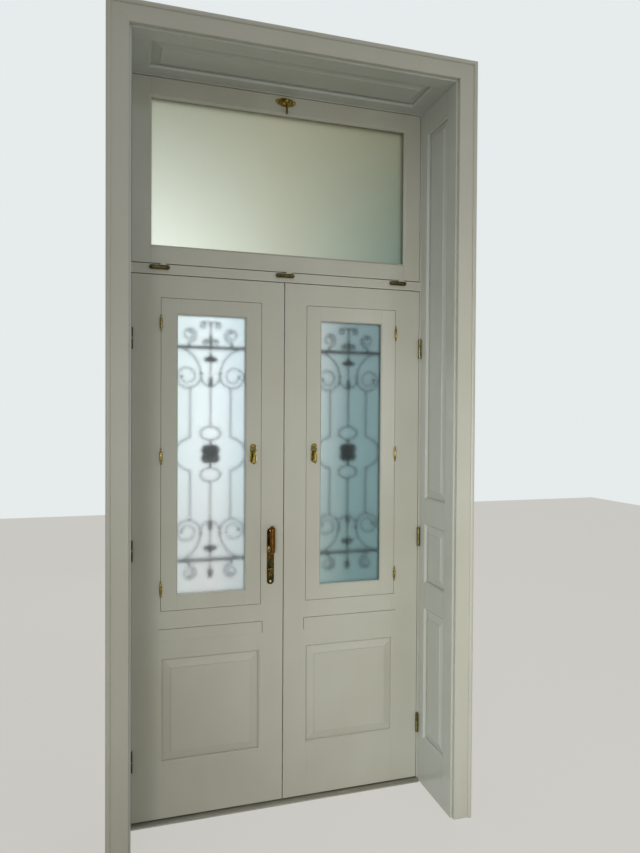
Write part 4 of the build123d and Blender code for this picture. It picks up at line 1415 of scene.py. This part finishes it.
@dataclass
class TransomHinges:
    """The fanlight's three hinges: stout turned barrels with domed ends, a half on each body."""

    half_length: float = 0.041
    radius: float = 0.0088
    dome: float = 0.009
    joint: float = 0.0004
    ease: float = 0.0008
    setback: float = -0.009
    flap_out: float = 0.028
    flap_half: float = 0.001
    flap_top: float = 0.019
    fixed_gap: float = 0.001
    turning_gap: float = 0.003

    def places(self) -> tuple[Point, ...]:
        """The middle of each hinge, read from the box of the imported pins.

        Returns:
            The three points, from left to right.
        """
        low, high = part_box("transom_hinge_pins")
        out, height = low[0] + self.half_length, (low[2] + high[2]) / 2
        return tuple((x, self.setback, height) for x in (out, 0.0, -out))

    def barrel(self, place: Point, way: int) -> Array:
        """Half a barrel, turned about X from the joint to a quarter-ellipse end.

        Args:
            place: the hinge's middle.
            way: -1 for the transom's half and 1 for the fanlight's.

        Returns:
            The grid of points.
        """
        arc = np.linspace(0, math.pi / 2, 9)
        straight = self.half_length - self.dome
        end = np.stack(
            [straight + self.dome * np.sin(arc), self.radius * np.cos(arc) + 0.0002], axis=1
        )
        start = [(self.joint, self.radius * 0.9), (self.joint + self.ease, self.radius)]
        return lathe(place, (way, 0, 0), np.concatenate([np.array(start), end]), 1.0, 36)

    def flap(self, low: Point, high: Point) -> Array:
        """A flat plate with eased edges between two corners.

        Args:
            low: its lowest corner.
            high: its highest corner.

        Returns:
            The grid of points.
        """
        middle = tuple((a + b) / 2 for a, b in zip(low, high))
        half = tuple((b - a) / 2 for a, b in zip(low, high))
        return pebble(middle, half, 12.0, 9, 24)

    def make(self, bronze: bpy.types.Material, enamel: bpy.types.Material) -> None:
        """Builds and dresses the two halves and the fanlight's painted flaps.

        Args:
            bronze: finish of the barrels.
            enamel: finish of the flaps.
        """
        fixed, turning, painted = Form(), Form(), Form()
        thin = self.flap_half
        for x, y, z in self.places():
            fixed.add(self.barrel((x, y, z), -1))
            corner = (x - self.fixed_gap, 0.0, z + thin)
            fixed.add(self.flap((x - self.flap_out, y, z - thin), corner))
            turning.add(self.barrel((x, y, z), 1))
            near, far = x + self.turning_gap, x + self.flap_out
            low, top = z + self.turning_gap, z + self.flap_top
            painted.add(self.flap((near, y - thin, low), (far, y + thin, top)))
            painted.add(self.flap((near, y - thin, top - 2 * thin), (far, 0.0, top)))
        pins = fixed.build("transom_hinge_barrels")
        knuckles = turning.build("fanlight_hinge_barrels")
        flaps = painted.build("fanlight_hinge_flaps")
        dress(pins, bronze, "frame")
        dress(knuckles, bronze, "fanlight")
        dress(flaps, enamel, "fanlight")
        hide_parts("transom_hinge_pins")
        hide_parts("fanlight_hinge_knuckles")
        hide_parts("fanlight_hinge_knuckles")


Finish = Enamel | Brass | FrostedGlass | WroughtIron | BrushedMetal


@dataclass
class Wardrobe:
    """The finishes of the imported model's own nodes.

    The panes' tints run from the near edge to the far edge of a casement's pane, as distances from
    the meeting line, and across the fanlight's.
    """

    finishes: dict[str, bpy.types.Material] = field(default_factory=dict)
    pane_height: Flat = (0.94, 2.10)
    pane_near: float = 0.165
    pane_far: float = 0.455
    fanlight_across: Flat = (-0.56, 0.56)
    fanlight_up: Flat = (2.385, 2.983)

    def give(self, finish: Finish, *nodes: str) -> None:
        """Puts one finish on some nodes.

        Args:
            finish: the finish.
            nodes: names of nodes, where a name that starts with * stands for left and right.
        """
        material = finish.material()
        for name in nodes:
            pair = [f"{side.label}{name[1:]}" for side in Side] if name[0] == "*" else [name]
            for node in pair:
                self.finishes[node] = material

    def enamels(self) -> None:
        """Chooses the enamel of the woodwork."""
        self.give(
            Enamel("enamel_upright", Grain.UPRIGHT),
            "*_jamb",
            "*_leaf_hinge_stile",
            "*_leaf_meeting_stile",
            "*_leaf_panel",
            "*_architrave",
        )
        self.give(
            Enamel("enamel_level", Grain.LEVEL),
            "frame_head",
            "transom_bar",
            "*_leaf_rails",
            "architrave_head",
        )
        for name, grain, nodes in (
            ("enamel_sash", Grain.UPRIGHT, ("*_casement_frame", "*_casement_beads")),
            ("enamel_level_sash", Grain.LEVEL, ("fanlight_frame", "fanlight_beads")),
        ):
            # The sashes' paler corner shade paints the light that comes through the panes into their
            # rebates
            self.give(Enamel(name, grain, roughness=0.12, corner_shade="#c8c8bc"), *nodes)
        # The reveal's cooler, paler colours paint in part the bluish daylight that its gloss
        # reflects
        reveal = Enamel(
            "enamel_reveal",
            Grain.UPRIGHT,
            roughness=0.13,
            colours=("#c3c6be", "#ccd0ca"),
            arris=0.003,
            brush_depth=0.00001,
            sag_depth=0.00005,
        )
        self.give(reveal, "*_reveal_frame", "head_reveal_frame", "reveal_panels")

    def brasses(self) -> None:
        """Chooses the brass of the hinges, the latches and the handle set."""
        # The base colours are darker than clean brass: they paint the dark room that the polished
        # metal mirrors
        self.give(
            Brass("bright_brass"),
            "*_casement_hinge_pins",
            "*_casement_hinge_knuckles",
            "fanlight_latch_plate",
            "fanlight_latch_handle",
            "strike_plate",
            "flush_bolt_plates",
        )
        self.give(
            # The latches' dark olive is painted shade and their near-white edges are painted
            # highlights
            Brass("latch_brass", ("#5c5120", "#94803c"), "#1f180a", "#fff4d2", 0.1),
            "*_casement_latch_plate",
            "*_casement_latch_handle",
        )
        hinge = Brass(
            "hinge_brass",
            ("#5c5532", "#857c50"),
            roughness=0.16,
            # The hinges left of the meeting line take darker colours: painted shade
            shade_colours=("#35301c", "#4d452a"),
        )
        self.give(hinge, "*_leaf_hinge_knuckles", "frame_hinge_pins")
        self.give(Brass("turn_brass", ("#4f4626", "#736738")), "thumb_turn")
        # The screws' pale brass paints their highlights
        self.give(Brass("screw_brass", ("#a89a78", "#cfc3a2"), roughness=0.2), "handle_screws")
        bronzed = Brass("bronzed_brass", ("#3e3824", "#675c38"), "#1c180c", roughness=0.24)
        self.give(bronzed, "transom_hinge_pins", "fanlight_hinge_knuckles")
        plate = Brass(
            "plate_brass",
            ("#69451b", "#845c2b"),
            "#2a1b0c",
            "#c2a470",
            # Below the change the plates take darker olive colours: a painted darker reflection at
            # their foot
            shade_colours=("#302e19", "#4c4828"),
            axis=Axis.UPWARDS,
            change=(1.05, 1.12),
        )
        self.give(plate, "handle_plate_inside", "handle_plate_outside")
        # The handle's dark brown is painted shade: the dark room mirrored in its levers
        handle = Brass("handle_brass", ("#5a3c14", "#75511f"), "#1d140a", "#d8ba86", 0.12)
        self.give(handle, "lever_inside", "lever_outside", "lock_cylinder")

    def metals(self) -> None:
        """Chooses the steel of the lock, the threshold's aluminium and the grilles' iron."""
        self.give(
            BrushedMetal("bright_steel", ("#a7a9ab", "#c4c6c8"), (30.0, 900.0, 30.0), 0.25),
            "lock_case",
            "latch_bolt",
            "dead_bolt",
            "top_flush_bolt",
            "foot_flush_bolt",
        )
        worn = BrushedMetal("worn_aluminium", ("#a3a198", "#bab8ae"), (6.0, 260.0, 260.0), 0.4)
        self.give(worn, "threshold")
        self.give(WroughtIron(), "*_grille")

    def panes(self) -> None:
        """Chooses the tint of each frosted pane."""
        left = FrostedGlass(
            "frosted_left",
            ("#f6feff", "#fbffff", "#e2f0f3"),
            ("#d9e4e2", "#e6efef", "#c8d6d8"),
            (-self.pane_far, -self.pane_near),
            self.pane_height,
        )
        self.give(left, "left_casement_pane")
        right = FrostedGlass(
            "frosted_right",
            ("#b6ccca", "#8caeb0", "#86aaac"),
            ("#b9c0bd", "#859a9b", "#809697"),
            (self.pane_near, self.pane_far),
            self.pane_height,
        )
        self.give(right, "right_casement_pane")
        top = FrostedGlass(
            "frosted_fanlight",
            ("#ecf0e2", "#b8baa6", "#7e8f81"),
            ("#b8b9a5", "#b0ae95", "#949279"),
            self.fanlight_across,
            self.fanlight_up,
        )
        self.give(top, "fanlight_pane")

    def dress(self) -> None:
        """Assigns each node's finish to its object's material slots."""
        for choose in (self.enamels, self.brasses, self.metals, self.panes):
            choose()
        for name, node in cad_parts.items():
            if name not in self.finishes:
                log.warning("%s keeps its plain finish", name)
                continue
            if not node.material_slots:
                node.data.materials.append(self.finishes[name])
            for place in node.material_slots:
                place.material = self.finishes[name]


@dataclass
class Studio:
    """Pale floor, soft lamps and the camera at the photograph's place."""

    camera_at: Point = (-0.7086, -2.8201, 1.6867)
    right: Point = (0.95537648, -0.29533509, 0.00574142)
    up: Point = (-0.00092804, 0.01643560, 0.99986450)
    ahead: Point = (0.29538944, 0.95525235, -0.0154281)
    lens: float = 28.23
    sensor: float = 36.0
    floor_half: float = 9.0
    floor: str = "#d9d7d1"
    floor_glow: str = "#dcdad5"
    glow_share: float = 0.72
    backdrop: str = "#e6ebec"
    air: str = "#f4f3f0"
    air_light: float = 0.42

    def camera(self) -> None:
        """The camera, its long side 36 mm."""
        data = bpy.data.cameras.new("camera")
        data.lens = self.lens
        data.sensor_width = self.sensor
        camera = bpy.data.objects.new("camera", data)
        columns = (self.right, self.up, tuple(-part for part in self.ahead), self.camera_at)
        rows = [[column[row] for column in columns] for row in range(3)]
        camera.matrix_world = Matrix([*rows, [0, 0, 0, 1]])
        bpy.context.scene.collection.objects.link(camera)
        bpy.context.scene.camera = camera

    def looked_at(self, tree: bpy.types.NodeTree) -> bpy.types.NodeSocket:
        """1 where the camera, a mirror or glass sees the place, 0 where it only gives light.

        Args:
            tree: the node tree.

        Returns:
            The value's socket.
        """
        rays = add_node(tree, "ShaderNodeLightPath").outputs
        seen = rays["Is Camera Ray"]
        for name in ("Is Glossy Ray", "Is Transmission Ray"):
            seen = add_node(
                tree, "ShaderNodeMath", {"operation": "MAXIMUM"}, {0: seen, 1: rays[name]}
            ).outputs[0]
        return seen

    def ground(self) -> None:
        """A wide pale floor, just under the threshold, that glows a little where it is seen."""
        half = self.floor_half
        mesh = bpy.data.meshes.new("studio_floor")
        corners = [(-half, -half, 0), (half, -half, 0), (half, half, 0), (-half, half, 0)]
        mesh.from_pydata(corners, [], [(0, 1, 2, 3)])
        floor = bpy.data.objects.new("studio_floor", mesh)
        bpy.context.scene.collection.objects.link(floor)
        material, tree = new_tree("studio_floor")
        ground = add_node(tree, "ShaderNodeBsdfDiffuse", None, {"Color": linear(self.floor)})
        glow = add_node(tree, "ShaderNodeEmission", None, {"Color": linear(self.floor_glow)})
        inputs = {0: self.looked_at(tree), 1: self.glow_share}
        share = add_node(tree, "ShaderNodeMath", {"operation": "MULTIPLY"}, inputs).outputs[0]
        inputs = {0: share, 1: ground.outputs[0], 2: glow.outputs[0]}
        both = add_node(tree, "ShaderNodeMixShader", None, inputs)
        add_node(tree, "ShaderNodeOutputMaterial", None, {"Surface": both.outputs[0]})
        mesh.materials.append(material)
        floor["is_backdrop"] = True

    def lamp(
        self,
        name: str,
        at: Point,
        aim: Point,
        size: float,
        power: float,
        colour: str,
        beam: float = 180.0,
    ) -> None:
        """A square soft lamp.

        Args:
            name: its name.
            at: where it hangs.
            aim: the point that it faces.
            size: its side in metres.
            power: its watts.
            colour: its sRGB hex colour.
            beam: the angle of its beam in degrees.
        """
        data = bpy.data.lights.new(name, "AREA")
        data.spread = math.radians(beam)
        data.size = size
        data.energy = power
        data.color = linear(colour)[:3]
        light = bpy.data.objects.new(name, data)
        light.location = at
        light.rotation_euler = (Vector(aim) - Vector(at)).to_track_quat("-Z", "Y").to_euler()
        bpy.context.scene.collection.objects.link(light)

    def world(self) -> None:
        """Even pale light, and a pale background for the camera, the metal and the glass."""
        world = bpy.data.worlds.new("studio")
        bpy.context.scene.world = world
        world.use_nodes = True
        tree = world.node_tree
        tree.nodes.clear()
        light, back = (
            add_node(
                tree, "ShaderNodeBackground", None, {"Color": linear(colour), "Strength": power}
            ).outputs[0]
            for colour, power in ((self.air, self.air_light), (self.backdrop, 1.0))
        )
        inputs = {0: self.looked_at(tree), 1: light, 2: back}
        both = add_node(tree, "ShaderNodeMixShader", None, inputs)
        add_node(tree, "ShaderNodeOutputWorld", None, {"Surface": both.outputs[0]})

    def make(self) -> None:
        """Sets the stage."""
        bpy.context.scene.view_settings.view_transform = "Standard"
        self.camera()
        self.ground()
        self.world()
        self.lamp("key", (-1.7, -5.2, 1.5), (1.6, 0.0, 0.9), 1.6, 15.0, "#fbfcf8", 50.0)
        self.lamp("fill", (2.8, -4.2, 2.0), (0.3, 0.0, 1.3), 2.2, 18.0, "#f8faf8")
        self.lamp("daylight", (0.4, 4.2, 2.5), (0.0, 0.0, 1.6), 3.0, 14.5, "#f3f8ff")


def outline() -> list[list[float]]:
    """The shown object's lowest and highest corner as plain numbers."""
    return [[float(number) for number in corner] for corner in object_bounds()]


def latches() -> tuple[Latch, Latch, Latch]:
    """The latches of the left casement, the right casement and the fanlight.

    Returns:
        The three latches.
    """
    across, up = 0.136, 1.5405
    left, right = (
        Latch(
            name=f"{side.label}_casement_latch",
            body=f"{side.label}_casement",
            spindle=(side.sign * across, 0.0, up),
            half=(0.0145, 0.042),
            outline=Outline.LONG,
            drop=0.016,
        )
        for side in Side
    )
    top = Latch("fanlight_latch", "fanlight", (0.0, 0.0, 3.037), (0.0445, 0.020), Outline.OVAL)
    return left, right, top


def main() -> None:
    """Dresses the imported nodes, builds the new pieces and sets the stage."""
    logging.basicConfig(level=logging.INFO, format="%(name)s: %(message)s")
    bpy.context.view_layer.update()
    wardrobe = Wardrobe()
    wardrobe.dress()
    given = wardrobe.finishes
    brass = given["strike_plate"]
    *casement_latches, fanlight_latch = latches()
    for side, latch in zip(Side, casement_latches):
        Grille(side).make(given["left_grille"])
        latch.make(given[f"{latch.name}_plate"], f"{latch.name}_plate", latch.name)
        HingeScrews(side).make(brass)
    fanlight_latch.make(brass, "fanlight_latch_plate", "fanlight_latch")
    # The handle set's collars and screws take the lighter brass, which paints their highlights
    HandleSet().make(brass, given["lock_case"])
    TransomHinges().make(given["transom_hinge_pins"], given["fanlight_frame"])
    Studio().make()


if __name__ == "__main__":
    main()
